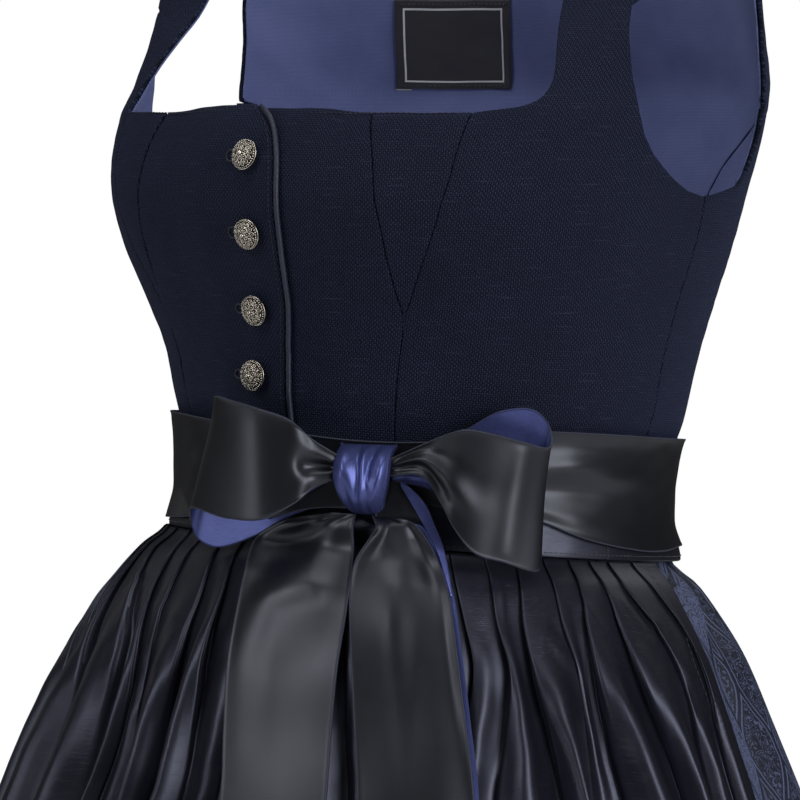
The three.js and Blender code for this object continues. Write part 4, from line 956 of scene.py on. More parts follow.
def build_lining():
    """The lining follows the linen's inner face, sewn along its seams and stopped short of the open edges."""
    common = {"offset": -LINEN - LINING_GAP, "wall": LINING, "inner_face": True}
    for side, flip in SIDES:
        add = joined(flip)
        low = panel(rows_to(WAIST_SEAM, 202.4, 4), lambda at: lerp(underlap_edge(at), gusset_front(at),
            1 / 3), front_outer(side), 34,
                    steady(45.0), margins=(0, 1.6), **common)

        def strap_start(at, side=side):
            return lerp(gusset_back(202.4), neck_inner(side)(np.maximum(at, 207.0)),
                np.clip((at - 202.4) / 4.6, 0, 1))

        high = panel([r for r in rows_to(202.4, 410.8, 4, *STEEP_ROWS) if 202.4 <= r <= 410.8], strap_start,
            front_outer(side), 14, steady(75.0),
                     margins=(1.6, 1.6), **common)
        front = Cloth()
        add(front, low)
        add(front, high)
        sew(front, f"lining_front_{side}", lining)
    back = Cloth()
    for side, flip in SIDES:
        add = joined(flip)
        add(back, panel([r for r in rows_to(WAIST_SEAM, 204, 4, *STEEP_ROWS) if r <= 204],
            side_back_start(side), back_seam[side], 16, steady(125.0),
                        margins=(1.6, 0.1), **common))
        add(back, panel(rows_to(WAIST_SEAM, BACK_NECK_HEIGHT, 4, 204, 206, 208), back_outer(side),
            steady(180.0), 26, steady(180.0),
                        margins=(1.2, 0), **common))
        add(back, panel(rows_to(BACK_NECK_HEIGHT, 410.8, 4, 271, 272, 274, 277), back_outer(side),
            back_inner, 12, steady(132.0),
                        margins=(1.6, 1.6), **common))
    sew(back, "lining_back", lining)


def inside_back(x, at, depth):
    """A point on the right half of the back, a depth inside the bodice's face."""
    angle = angle_at(x, at, True)
    normal = bodice_normal(angle, at)
    point = bodice_point(angle, at)
    point = point + normal * (swell(point) - depth)[..., None]
    return point * (-1, 1, 1)


def label_place(share, up):
    """How far from the centre back, and the length up, at shares of the label's width and height."""
    inner, outer = lerp(52.5, 38.5, up), lerp(112, 103, up)
    return lerp(inner, outer, share), lerp(215, 259.5, up) + 0 * share


def build_label():
    depth = LINEN + LINING_GAP + LINING + 0.3
    share, up = np.linspace(1, 0, 60)[None, :], np.linspace(0, 1, 44)[:, None]
    x, at = label_place(share, up)
    lift = 0.35 + 0.3 * waves(x, at, 30, seed=21)
    uv = np.stack(np.broadcast_arrays((share - 0.5) * 2 * LABEL_HALF[0], (up - 0.5) * 2 * LABEL_HALF[1]),
        -1)
    outer = inside_back(x, at, depth + lift * 0.4)
    inner = inside_back(x, at, depth + LABEL + lift)
    stand_for(Cloth().add(outer, inner, uv, hard_rim=True).piece("neck_label", label_cloth), "label")
    stitches, tacks = Trims(), Trims()
    for up in (0.045, 0.955):
        for start in np.linspace(0.03, 0.95, 24):
            x, at = label_place(np.linspace(start, start + 0.022, 3), up)
            line = inside_back(x, at, depth + LABEL + np.array([0.35, 0.75, 0.35]))
            stitches.cord(line, 0.28, 5)
    x, at = label_place(np.linspace(0.88, 1.0, 5), -0.02)
    line = inside_back(x, at, depth + 0.2)
    tacks.cord(line, 0.35, 6)
    trim(stitches.piece("label_stitches", black_thread))
    trim(tacks.piece("label_tack", white_thread))


# ------------------------------------------------------------------ piping, stitching and buttons
def on_lap(x, at, above=0.0):
    angle = angle_at(x, at)
    point, normal = bodice_point(angle, at), bodice_normal(angle, at)
    return point + normal * (swell(point) + lap_lift(point) + above)[..., None]


def running_stitches(stitches, starts, length, radius, line):
    """Short stitches of one length, each along line(places)."""
    for start in starts:
        stitches.cord(line(np.linspace(start, start + length, 4)), radius, 5)
    return stitches


def stitch_rise(ends, middle):
    """A stitch's four heights over the cloth: it goes in at both ends."""
    return np.array([ends, middle, middle, ends])


def build_piping():
    radius = 1.2
    at = np.concatenate([np.linspace(NECK_HEIGHT - 1.7, 190, 40), np.linspace(189, 12, 90)])
    edge = lap_edge(at)
    ahead = lap_edge(at - 1) - edge
    outward = unit(stack(np.ones_like(at), 0 * at, ahead))
    angle = angle_at(edge, at)
    point, normal = bodice_point(angle, at), bodice_normal(angle, at)
    rise = swell(point) + lap_lift(point) - LINEN + radius + 0.1
    path = point + outward * (radius + 0.3) + normal * rise[:, None]
    cord = Trims().cord(path, radius * (0.6 + 0.4 * smoothstep(NECK_HEIGHT - at, 1.7, 4)), 14)
    stand_for(cord.piece("front_edge_piping_cord", piping_cloth), "front_edge_piping")
    # A line of stitching holds the piping, a little inside the edge.
    stitches = running_stitches(Trims(), np.arange(14, 203, 2.3), 1.6, 0.22,
                                lambda at: on_lap(lap_edge(at) - 2.6, at, stitch_rise(-0.25, 0.12)))
    trim(stitches.piece("piping_stitches", navy_thread))


BUTTONS = [(183, 6), (150, 7.5), (115, 3), (77, -1)]
BUTTON_RADIUS = 6.8


def dome_rise(out):
    return 1.9 + 3.9 * np.sqrt(np.maximum(0, 1 - (out / (BUTTON_RADIUS * 1.02)) ** 2))


def build_button(number, at, across):
    at_value = np.array([float(at)])
    angle = angle_at(np.array([float(across)]), at_value)
    point, normal = bodice_point(angle, at_value)[0], bodice_normal(angle, at_value)[0]
    base = point + normal * (LAP_RISE + 0.3)
    right = unit(np.cross(np.array([0, 0, 1.0]), normal))
    axes = np.stack([right, np.cross(normal, right), normal])

    def world(local):
        return base + np.asarray(local, float) @ axes

    def on_dome(out, turn, above=0.0):
        return stack(out * np.cos(turn), out * np.sin(turn), dome_rise(out) + above)

    # The blackened body: shank, flat underside, rim and dome.
    profile = [(0.01, 0), (3.6, 0), (3.8, 1.3), (6.0, 1.6), (6.7, 2.0)] + [(r, float(dome_rise(r)) - 0.35)
        for r in np.linspace(6.5, 0.01, 14)]
    turns = np.arange(40) * 2 * math.pi / 40
    rings = np.array([[(r * math.cos(t), r * math.sin(t), h) for t in turns] for r, h in profile])
    index = np.arange(len(profile) * 40).reshape(-1, 40)
    nxt = np.roll(index, -1, 1)
    quads = np.stack([index[:-1], nxt[:-1], nxt[1:], index[1:]], -1).reshape(-1, 4)
    body = Trims().add(world(rings.reshape(-1, 3)), quads).piece(f"button_{number}_body", dark_metal)
    stand_for(body, f"button_{number}")
    # Wire scrollwork: eight petals round a centre bead, small rings between them, and a beaded rim.
    wires = Trims()
    wires.bead(world([0, 0, dome_rise(0.0) + 0.25]), (1.15, 1.15, 0.85), axes)
    for k in range(8):
        middle = k * math.pi / 4 + 0.2 + 0.05 * math.sin(5 * k)
        loop = np.linspace(0, 2 * math.pi, 21)[:-1]
        out = 2.75 + 1.35 * np.cos(loop)
        turn = middle + 0.30 * np.sin(loop) * (1 + 0.35 * np.cos(loop))
        wires.cord(world(on_dome(out, turn, 0.12)), 0.27, 6, closed=True)
        wires.bead(world(on_dome(2.95, middle, 0.1)), (0.42, 0.42, 0.35), axes, 4, 7)
    for k in range(14):
        middle = k * math.pi / 7 + 0.1
        loop = np.linspace(0, 2 * math.pi, 17)[:-1]
        out = 5.1 + 0.72 * np.cos(loop)
        turn = middle + 0.155 * np.sin(loop)
        wires.cord(world(on_dome(out, turn, 0.1)), 0.24, 6, closed=True)
        wires.bead(world(on_dome(5.1, middle, 0.05)), (0.33, 0.33, 0.3), axes, 4, 6)
        wires.bead(world(on_dome(4.25, middle + math.pi / 14, 0.05)), (0.36, 0.36, 0.3), axes, 4, 6)
    for k in range(36):
        wires.bead(world(on_dome(6.35, k * math.pi / 18, 0.0)), (0.5, 0.5, 0.45), axes, 4, 6)
    wires.cord(world(on_dome(np.full(48, 6.75), np.arange(48) * 2 * math.pi / 48, -0.25)), 0.3, 6,
        closed=True)
    scroll = wires.piece(f"button_{number}_filigree", bright_metal)
    trim(scroll)


def build_buttonhole(number, at, across):
    """A worked buttonhole that runs from under the button towards the wearer's right."""
    half_height, end = 2.5, across - 11.5
    turn = np.linspace(math.pi / 2, 3 * math.pi / 2, 13)
    x = np.concatenate([np.linspace(across - 1, end, 10)[:-1], end + half_height * 0.75 * np.cos(turn),
        np.linspace(end, across - 1, 10)[1:]])
    z = np.concatenate([np.full(9, half_height), half_height * np.sin(turn), np.full(9, -half_height)])
    path = on_lap(x, at + z * 0.92, 0.25)
    count = 150
    where = np.linspace(0, len(path) - 1, count)
    path = np.stack([np.interp(where, np.arange(len(path)), path[:, k]) for k in range(3)], -1)
    worked = Trims()
    beat = 0.45 + 0.1 * np.abs(np.sin(np.arange(count) * 1.35))
    worked.cord(path, beat, 8)
    slit = on_lap(np.linspace(across - 1, end + 0.4, 12), np.full(12, float(at)), 0.02)
    worked.cord(slit, 0.3, 6)
    trim(worked.piece(f"buttonhole_{number}", navy_thread))


def build_neck_stitches():
    """A fine line of stitching just under the turned neckline."""
    at = np.full(4, NECK_HEIGHT - 2.3)
    rise = stitch_rise(-0.3, 0.05)

    def beside_lap(x):
        angle = angle_at(x, at)
        point = bodice_point(angle, at)
        return point + bodice_normal(angle, at) * (swell(point) + rise)[:, None]

    stitches = running_stitches(Trims(), np.arange(-104, 4, 2.6), 1.9, 0.2, lambda x: on_lap(x, at, rise))
    running_stitches(stitches, np.arange(26, 100, 2.6), 1.9, 0.2, beside_lap)
    trim(stitches.piece("neckline_stitches", navy_thread))


# ------------------------------------------------------------------ skirt and apron
skirt_profile = smooth("reach fold", [(0, 113, 1.2), (9, 115, 1.6), (17, 123, 2.6), (31, 132, 3.4),
    (51, 143, 4), (80, 154.5, 4.6), (120, 170, 5.2), (200, 199, 6), (320, 240, 7), (450, 283, 8),
    (570, 320, 9), (668, 347, 10)])
apron_profile = smooth("lift pleat", [(0, 2, 1.2), (9, 6.2, 2.4), (17, 7.5, 3.2), (36, 10, 4.4),
    (80, 13.5, 6), (130, 15, 7), (300, 16, 8.5), (640, 18, 10)])
WIDE, DEEP = 1.068, 0.949
APRON_EASE = 12
APRON_DEGREE, APRON_CUT_DEGREE = 3.2, 3.9  # millimetres a degree, as it hangs and along its cloth


def skirt_oval(angle, drop, reach):
    y = -DEEP * reach * np.cos(np.radians(angle))
    tilt = WAIST_TILT * y * (1 - smoothstep(drop, 0, SKIRT_DROP))
    return stack(WIDE * reach * np.sin(np.radians(angle)), y, WAIST_SEAM - drop - tilt)


# Degrees from fold to fold beside and behind the apron, and of the first groove.
BROAD_FOLD, BROAD_GROOVE = 29.0, 107.4
BROAD_SIZE = np.array([0.9, 1.15, 0.85, 1.2])
PATTERN_STEP = 236.0  # millimetres of pattern from the crest of a broad fold to the next


def broad_turn(angle, drop):
    """Counts the broad folds from the first groove; the grooves run a little back near the band."""
    bend = 9.6 * (1 - smoothstep(drop, 12, 58)) + 1.6 * np.sin(drop / 70 + np.abs(angle) / 9)
    bent = (1 - smoothstep(np.abs(angle), 130, 178)) * smoothstep(np.abs(angle), 88, 100)
    return (np.abs(angle) - BROAD_GROOVE - bend * bent) / BROAD_FOLD


def skirt_reach(angle, drop):
    pressed = lerp(1, 0.55, 1 - smoothstep(np.abs(angle), APRON_HALF - 6 - APRON_EASE, APRON_HALF - 4))
    gather = np.cos(2 * math.pi * angle / 360 * SKIRT_FOLDS)
    turn = broad_turn(angle, drop)
    size = BROAD_SIZE[np.clip(np.floor(turn).astype(int) + 1, 0, 3)]
    broad = (1 - 2 * (0.5 + 0.5 * np.cos(2 * math.pi * turn)) ** 4) * size
    beside = smoothstep(np.abs(angle), 84, 94) * smoothstep(drop, 10, 45)
    shape = lerp(gather, 0.16 * gather * (1 - smoothstep(drop, 60, 300)) + broad, beside)
    drawn = 1.6 * smoothstep(np.abs(angle), 98, 116) * (1 - smoothstep(drop, 7, 20))
    return skirt_profile["reach"](drop) + skirt_profile["fold"](drop) * pressed * shape - drawn


def from_front(angle):
    return np.where(angle > 180, angle - 360, angle)


def build_skirt():
    drops = np.concatenate([[0.3, 2, 4, 6.5], np.linspace(9, 60, 16),
        np.linspace(66, SKIRT_DROP, 58)])[::-1, None]
    trim_angle = np.degrees(SEAM_HALF / 121)
    for name, low, high in (("skirt_front", -90, 90), ("skirt_back", 90, 270)):
        angles = np.linspace(low + trim_angle, high - trim_angle, 26 * 12 + 1)[None, :]
        signed = from_front(angles)
        reach = skirt_reach(signed, drops)
        outer, inner = skirt_oval(angles, drops, reach), skirt_oval(angles, drops, reach - SKIRT)
        # Each broad fold shows its own stretch of the pattern; the cloth between is down in the groove.
        per_degree = 0.0196 * skirt_profile["reach"](drops)
        middles = from_front((angles[:, 1:] + angles[:, :-1]) / 2)
        fold = np.floor(broad_turn(middles, drops)) + 0 * drops
        crest = np.sign(middles) * (BROAD_GROOVE + (fold + 0.5) * BROAD_FOLD)
        start = np.sign(middles) * fold * PATTERN_STEP
        before = start + (signed[:, :-1] - crest) * per_degree
        after = before + (angles[:, 1:] - angles[:, :-1]) * per_degree
        height = SKIRT_DROP - drops + 0 * angles
        uv = np.stack([np.concatenate([before, after[:, -1:]], 1), height], -1)
        uv_after = np.stack([np.concatenate([before[:, :1], after], 1), height], -1)
        sew(Cloth().add(outer, inner, uv, uv_after), name, jacquard)


# Each pleat's folded edge: its angle at the drops of PLEAT_DROPS.
PLEAT_DROPS = (8, 20, 35, 55, 85, 120, 250, 640)
PLEAT_PATHS = [
    (-97, -94.5, -92.5, -92, -92, -92, -92, -92), (-89.5, -88, -87, -86.5, -86, -85.5, -85.4, -85.4),
    (-82, -82.5, -81, -79, -78, -79, -78, -78), (-75, -73.5, -73, -74, -72, -70.5, -71.5, -71),
    (-68, -67.5, -65.5, -64, -65, -66, -65, -64), (-60.5, -59.5, -59, -58.5, -57, -56, -57.5, -58),
    (-53.5, -52, -50, -48.5, -49, -50, -51, -51), (-46, -45.5, -44.5, -42, -40, -40.5, -44, -45),
    (-38, -37.5, -36.5, -33.5, -29.5, -29, -37, -38), (-30, -29.5, -24, -18.6, -16.5, -16, -27, -29),
    (-21.8, -19.6, -18.2, -15.4, -13, -12.5, -20, -21),
    (-15.5, -14.3, -13, -11.6, -9.6, -8.5, -14, -14.5), (-8, -5.4, -3.4, -2.7, -2.8, -2, -8, -8),
    (-2, -0.3, 1.5, 2.2, 3.4, 4, -2, -2), (3, 4.5, 6, 7.5, 9, 9.5, 4, 4),
    (9, 10, 11.5, 13.5, 15, 15.5, 10, 10.5), (15, 16, 17.5, 19, 21, 22, 17, 17),
    (21.5, 23, 24.5, 25.5, 26.5, 27.5, 23.5, 24), (28.5, 29.5, 31, 32, 32.5, 33, 30.5, 30),
    (36, 36.5, 37.5, 38.5, 38, 37.5, 37, 37), (43, 43.5, 44.5, 45.5, 43.5, 41.8, 43, 44),
    (50.3, 50.4, 50.3, 51.4, 49.3, 47, 50, 50.5), (56.9, 55.8, 54.6, 54.7, 56.6, 57.6, 56.5, 57),
    (63.3, 63, 62.6, 63.6, 63.2, 62.6, 63, 63.5), (69.6, 68.4, 66.6, 65.4, 65.6, 66.6, 68.5, 69),
    (74.9, 74.7, 73.6, 73.7, 76, 77.4, 75.5, 75), (80, 79.8, 82.4, 84, 83.6, 83.4, 81, 80.5),
    (87.4, 88.3, 90.4, 90.6, 88.8, 88, 86.4, 86), (97, 94.5, 93.6, 93, 92.8, 92.4, 92, 92),
]
# Heights at the drops of HEIGHT_DROPS, from the pleat by the wearer's right edge to the one by the left.
HEIGHT_DROPS = (8, 35, 60, 110, 250, 640)
PLEAT_HEIGHTS = [
    (1, 0.9, 0.8, 0.7, 0.63, 0.5), (1, 0.9, 1.1, 1.2, 1.1, 1), (1, 1.1, 0.7, 0.5, 0.45, 0.5),
    (1, 0.9, 1.2, 1.3, 1.1, 1), (1, 1, 0.6, 0.6, 0.54, 0.5), (1, 1.1, 1.3, 1.2, 1.1, 1),
    (1, 0.9, 0.6, 0.4, 0.36, 0.5), (1, 1.1, 1.2, 1.3, 1.1, 1), (1, 1.2, 1.4, 1.3, 1.1, 1),
    (1, 0.9, 0.7, 0.6, 0.54, 0.5), (1, 0.7, 0.4, 0.3, 0.27, 0.5), (1, 1, 1.1, 1.1, 1.1, 1.1),
    (1, 1.2, 1.4, 1.3, 1.1, 1), (1, 0.8, 0.6, 0.5, 0.45, 0.5), (1, 0.8, 0.8, 0.7, 0.63, 0.5),
    (1, 1, 1, 1, 1.1, 1), (1, 0.8, 0.7, 0.6, 0.54, 0.5), (1, 1, 1.1, 1.1, 1.1, 1),
    (1, 1, 0.8, 0.8, 1.1, 1), (1, 1, 1.1, 1.1, 1.1, 1), (1, 0.9, 0.8, 0.7, 0.63, 0.5),
    (1, 1.1, 1.2, 1, 1.1, 1), (1, 1.2, 1.4, 1.4, 1.1, 1), (1, 0.8, 0.25, 0.15, 0.14, 0.5),
    (1, 1.2, 1.4, 1.5, 1.2, 1.1), (1, 1, 1.1, 1, 1.1, 1), (1, 0.7, 0.4, 0.4, 0.36, 0.5),
    (1, 0.7, 0.6, 0.6, 0.54, 0.5),
]
PLEAT_STEPS = np.array([0, 0.02, 0.045, 0.075, 0.11, 0.15, 0.2, 0.27, 0.36, 0.46, 0.56, 0.66, 0.76, 0.85,
    0.92, 0.97])
HALF_PLEATS = APRON_PLEATS // 2
APRON_CREASES = [  # start and end as (angle, drop), width in mm, height
    ((62, 26), (57.5, 44), 2.2, 0.9), ((60, 40), (63, 54), 2.6, 1.2), ((68.5, 24), (71, 40), 1.6, 0.8),
    ((78, 22), (80.5, 36), 1.6, 0.8), ((84, 30), (80, 44), 2.0, 0.9), ((53, 20), (52, 34), 1.8, 0.7),
    ((-17, 40), (-6, 46), 2.4, 0.7), ((-27, 26), (-29, 46), 1.8, 0.8), ((-7, 60), (-10.5, 92), 3.2, 1.2),
    ((69, 60), (71.5, 95), 3.2, 1.4), ((57.5, 70), (60, 118), 3.6, 1.1),
    ((84, 58), (86.4, 104), 2.8, 1.1),
]


def apron_point(pleats, drop, depth=0.0):
    """A point of the apron at a count of pleats from the centre front, which the pleats face, and a drop."""
    pleats, drop = np.broadcast_arrays(np.asarray(pleats, float), np.asarray(drop, float))
    paths = np.stack([smooth("angle", list(zip(PLEAT_DROPS, path)))["angle"](drop) for path in PLEAT_PATHS])
    place_in = np.clip(pleats + HALF_PLEATS, 0, APRON_PLEATS - 1e-6)
    low = place_in.astype(int)
    share = place_in - low
    first, last = np.take_along_axis(paths, low[None], 0)[0], np.take_along_axis(paths, low[None] + 1, 0)[0]
    phase = np.where(pleats < 0, 1 - share, share)
    width = (last - first) * np.radians(skirt_profile["reach"](drop))
    # The folded edge stands over the end of the pleat before it, less so as the pleats open.
    opened = smoothstep(drop, 24, 115)
    heights = np.stack([np.interp(drop, HEIGHT_DROPS, row) for row in PLEAT_HEIGHTS])
    size = np.take_along_axis(heights, low[None], 0)[0]
    under = lerp(1, 0, smoothstep(phase, 0.02, 0.11)) + smoothstep(phase, 0.7, 1.0)
    overhang = np.minimum(lerp(3.4, 1.6, opened) * np.minimum(size, 1.1), 0.42 * width) * (1
        - smoothstep(drop, 260, 520))
    away = np.where(pleats < 0, -1, 1)
    angle = lerp(first, last, share) + away * np.degrees(under * overhang / skirt_profile["reach"](drop))
    falling = np.clip((phase - 0.13) / 0.87, 0, 1) ** lerp(1.25, 1.0, opened)
    sharp = smoothstep(phase, 0.015, 0.13) * (1 - falling)
    soft = smoothstep(phase, 0.0, 0.45) * (1 - smoothstep(phase, 0.42, 1.0))
    shape = lerp(sharp, soft, 0.95 * opened)
    edge = smoothstep(np.abs(pleats), HALF_PLEATS - 1.6, HALF_PLEATS)
    arc = angle * APRON_DEGREE
    drift = 0.8 * waves(arc, drop * 0.5, 30, seed=31) * smoothstep(drop, 18, 70)
    drift = drift + 0.3 * waves(arc, drop * 0.8, 13, seed=37) * smoothstep(drop, 12, 45)
    creased = creases(arc, drop, APRON_CREASES, APRON_DEGREE)
    lift = apron_profile["lift"](drop)
    height = apron_profile["pleat"](drop) * lerp(0.62, 1.35, smoothstep(drop, 12, 75))
    off_the_tails = 1 - smoothstep(angle, -4, 4) * (1 - smoothstep(angle, 46, 54))
    height = height * (1 + 0.35 * off_the_tails * smoothstep(drop, 45, 90))
    folded = height * (shape * size - 0.5) + drift + creased
    reach = skirt_profile["reach"](drop) + lift + folded * (1 - 0.7 * edge)
    return skirt_oval(angle, drop, reach - depth), angle


def build_apron():
    drops = np.concatenate([np.linspace(7.1, 16, 7), np.linspace(18, 130, 50),
        np.linspace(136, APRON_DROP - 1, 34), [APRON_DROP]])[::-1, None]
    side = (np.arange(HALF_PLEATS)[:, None] + PLEAT_STEPS).ravel()
    pleats = np.concatenate([-side[::-1][:-1], side, [HALF_PLEATS]])
    pleats = np.concatenate([[-HALF_PLEATS], pleats])[None, :]
    outer, angle = apron_point(pleats, drops)
    inner, _ = apron_point(pleats, drops, lerp(0.8, APRON, smoothstep(drops, 20, 80)))
    uv = np.stack([angle * APRON_CUT_DEGREE, APRON_DROP - drops + 0 * angle], -1)
    sew(Cloth().add(outer, inner, uv), "apron", taffeta)
    # Two lines of stitching hold the hem down each side edge.
    stitches = Trims()
    drop = np.arange(9, APRON_DROP - 6, 2.9)[:, None] + np.array([0, 1.2, 2.4])
    for side in (-1, 1):
        edge, inside = apron_point(side * 14.0, drop)[0], apron_point(side * 13.4, drop)[0]
        for margin in (9.0, 11.4):
            pleats = side * (14 - 0.6 * margin / np.linalg.norm(edge - inside, axis=-1))
            lines, _ = apron_point(pleats, drop, np.array([0.15, -0.08, 0.15]))
            for line in lines:
                stitches.cord(line, 0.15, 4)
    trim(stitches.piece("apron_hem_stitches", black_thread))


# ------------------------------------------------------------------ waistband and ribbon belt
BELT_DEGREE = 2.1  # millimetres that a degree takes up round the belt


def band_rise(angle, at):
    lap = 3.4 * smoothstep(angle, -34, -18) * (1 - smoothstep(angle, 12, 26))
    over_skirt = 3.2 + 1.0 * smoothstep(np.abs(angle), 98, 122)
    return 0.7 + np.maximum(lap, over_skirt * (1 - smoothstep(at, 3, 20)))


def ribbon_rise(angle, at):
    over_band = 1 - smoothstep(np.abs(angle), BAND_HALF + 3, BAND_HALF + 16)
    return band_rise(angle, at) + (BAND + 0.6) * over_band


ribbon_edges = smooth("bottom top", [(-180, 8.2, 57), (-118, 8.2, 56.5), (-100, 6, 56), (-30, 6, 54.5),
    (5, 18, 50), (26, 23, 48), (46, 20, 51), (62, 18, 57), (76, 10, 58), (92, 6, 58), (104, 6, 58),
    (118, 8.2, 58), (180, 8.2, 57)])

# Creases pulled into the belt by the bow: start and end as (angle, length up), width in mm, height.
BELT_CREASES = [
    ((50, 36), (80, 46), 4.2, 1.5), ((52, 31), (86, 31), 4.4, -1.5), ((54, 24), (80, 17), 4.0, 1.2),
    ((66, 42), (96, 37), 5.0, 0.9), ((58, 50), (92, 52), 4.5, -0.7), ((0, 34), (-26, 30), 4.5, 0.5),
    ((2, 30), (-24, 20), 4.2, -0.4),
]


def build_waistband():
    angles = np.linspace(-BAND_HALF, BAND_HALF, 421)[None, :]
    by_the_edge = np.array([0, 0.4, 1.0, 1.8]) / (BAND_TOP - BAND_BOTTOM)
    by_the_top = 1 - np.array([1.8, 0.9, 0]) / (BAND_TOP - BAND_BOTTOM)
    share = np.concatenate([by_the_edge, np.linspace(0.07, 0.95, 16), by_the_top])[:, None]
    at = lerp(BAND_BOTTOM, BAND_TOP, share) + 0 * angles
    dip = rounded(at - BAND_BOTTOM, 0.6) * 0.8
    rise = band_rise(angles, at)
    arc = angles * BELT_DEGREE
    ripple = 0.14 * waves(arc, at, 12, seed=41)
    outer = bodice_point(angles, at, rise + BAND + ripple - dip)
    inner = bodice_point(angles, at, rise)
    uv = np.stack([arc + 0 * at, at], -1)
    sew(Cloth().add(outer, inner, uv), "apron_waistband", taffeta)
    stitches = running_stitches(
        Trims(), np.arange(-138.5, 137.5, 1.28), 0.9, 0.2,
        lambda angle: bodice_point(angle, 3.6, band_rise(angle, 3.6) + BAND + stitch_rise(-0.2, 0.16)))
    join = bodice_point(np.full(12, 82.0), np.linspace(1.6, 7.6, 12), band_rise(82.0, 5) + BAND + 0.08)
    stitches.cord(join, 0.28, 5)
    trim(stitches.piece("waistband_stitches", black_thread))


def build_belt():
    angles = np.linspace(-180, 180, 441)[None, :]
    arc = angles * BELT_DEGREE
    low, high = ribbon_edges["bottom"](angles), ribbon_edges["top"](angles)
    share = np.concatenate([[0, 0.012, 0.03, 0.05], np.linspace(0.08, 0.92, 26), [0.95, 0.97, 0.988, 1]])
    at = lerp(low, high, share[:, None])
    from_edge = np.minimum(at - low, high - at)
    free = smoothstep(from_edge, 0, 5)
    pulled = creases(arc, at, BELT_CREASES, BELT_DEGREE) + 0.16 * waves(arc, at * 1.6, 22, seed=43)
    rise = ribbon_rise(angles, at) + RIBBON + free * pulled
    rim = 0.22 * np.exp(-(((from_edge - 0.55) / 0.4) ** 2))
    outer = bodice_point(angles, at, rise + rim)
    inner = bodice_point(angles, at, np.minimum(ribbon_rise(angles, at), rise - 0.5))
    uv = np.stack([arc + 0 * at, at], -1)
    sew(Cloth().add(outer, inner, uv, edge=from_edge), "ribbon_belt", RIBBON_SIDES, inside=1)


# ------------------------------------------------------------------ bow
# Rows along each loop: stand off the belt, the upper edge's angle and length up, the lower edge's, and the
# side of the knot that an end is drawn to.
RIGHT_LOOP = [
    (12, 19, 40.5, 19, 30, -1), (16, 17.8, 47, 18.2, 25.5, 0), (22, 14.6, 55, 16, 18.7, 0),
    (26, 9, 59.4, 10.5, 10.2, 0), (24, 2.9, 62.4, 2.5, 9, 0), (18, -2.2, 64, -10, 11, 0),
    (12, -4.7, 60.9, -11.1, 0, 0), (9, -2.3, 54, -6.9, -4.9, 0), (7, 4.5, 48.6, 3, 1.3, 0),
    (6, 13, 44, 11, 11.6, 0), (5, 19, 40, 18.5, 22, -1),
]
LEFT_LOOP = [
    (12, 33, 40.4, 33, 33, 1), (16, 37.8, 47.8, 38.5, 34, 0), (20, 41.6, 52.4, 41.9, 23.5, 0),
    (24, 45.6, 56, 44.5, 11.8, 0), (25, 50.6, 54.8, 48, 2, 0), (23, 56, 52.4, 53.2, -1.2, 0),
    (18, 62.2, 51, 60.6, -4.2, 0), (13, 62.9, 58, 61.8, 3.2, 0), (9, 59.5, 67, 58, 11, 0),
    (7, 53, 66, 52, 16.7, 0), (6, 46.8, 56.7, 45.5, 24.5, 0), (5, 39.5, 47.6, 39, 29, 0),
    (5, 34, 40.5, 34, 31, 1),
]
# Rows down each tail: stand off the apron, then angle and drop of the right edge and of the left edge.
RIGHT_TAIL = [
    (8, 20.5, -7.3, 25, -7.3), (10, 11, -2.2, 24.8, -1.4), (9, 4, 7, 25.1, 9), (8, 5.8, 23.3, 26, 25.6),
    (7, 6.8, 36, 26, 37), (6, 8.2, 61, 25.7, 58), (5, 10, 90, 25.7, 87), (5, 11.7, 118, 26, 115),
    (5, 12.6, 200, 25.5, 198), (5, 13.4, 330, 24.2, 327), (5, 14, 492, 23.2, 470),
]
LEFT_TAIL = [
    (8, 28.3, -7.3, 33, -7.3), (12, 29.5, -2, 37, -5), (12, 28.2, 3, 39.5, 2), (10, 26, 12.5, 41.3, 11),
    (8, 26, 25.6, 42.7, 23.5), (7, 27.2, 46.6, 43.4, 43.5), (5, 28.6, 77, 44.2, 74),
    (5, 30, 112, 44.9, 109), (5, 31, 200, 44, 197), (5, 32.2, 330, 43, 327), (5, 33, 488, 42.2, 512),
]
KNOT_ANGLE, KNOT_HALF, KNOT_HEIGHT, KNOT_DEPTH = 27.0, 10.6, 26, 20
RIBBON_WIDTH = 62
knot_place = bodice_point(KNOT_ANGLE, 31, ribbon_rise(KNOT_ANGLE, 20) + RIBBON + 2.4)
knot_outward = bodice_normal(np.array(KNOT_ANGLE), np.array(30.0)) * (1, 1, 0)
knot_outward = knot_outward / np.linalg.norm(knot_outward)
KNOT_UP = np.array([0.0, 0, 1])
knot_across = np.cross(KNOT_UP, knot_outward)


def over_belt(row, share):
    off, up_angle, up, low_angle, low, side = row
    at, angle = lerp(low, up, share), lerp(low_angle, up_angle, share)
    gathers = 10 * (1 - smoothstep(at, -12, 8))
    point = bodice_point(angle, at, ribbon_rise(angle, np.maximum(at, 20)) + RIBBON
        + np.maximum(off, gathers))
    if side:
        point = point + knot_across * (side * (KNOT_HALF + 0.3) - (point - knot_place).dot(knot_across))
    return point


def over_apron(row, share):
    off, right, right_drop, left, left_drop = row
    angle, drop = lerp(left, right, share), lerp(left_drop, right_drop, share)
    low = max(drop, 8)
    apron_face = skirt_profile["reach"](low) + apron_profile["lift"](low) + apron_profile["pleat"](low) / 2
    hanging = skirt_oval(angle, drop, apron_face + off)
    if drop >= 14:
        return hanging
    belt = bodice_point(angle, WAIST_SEAM - drop, ribbon_rise(angle, 20) + RIBBON + off)
    return lerp(belt, hanging, smoothstep(drop, -6, 14))


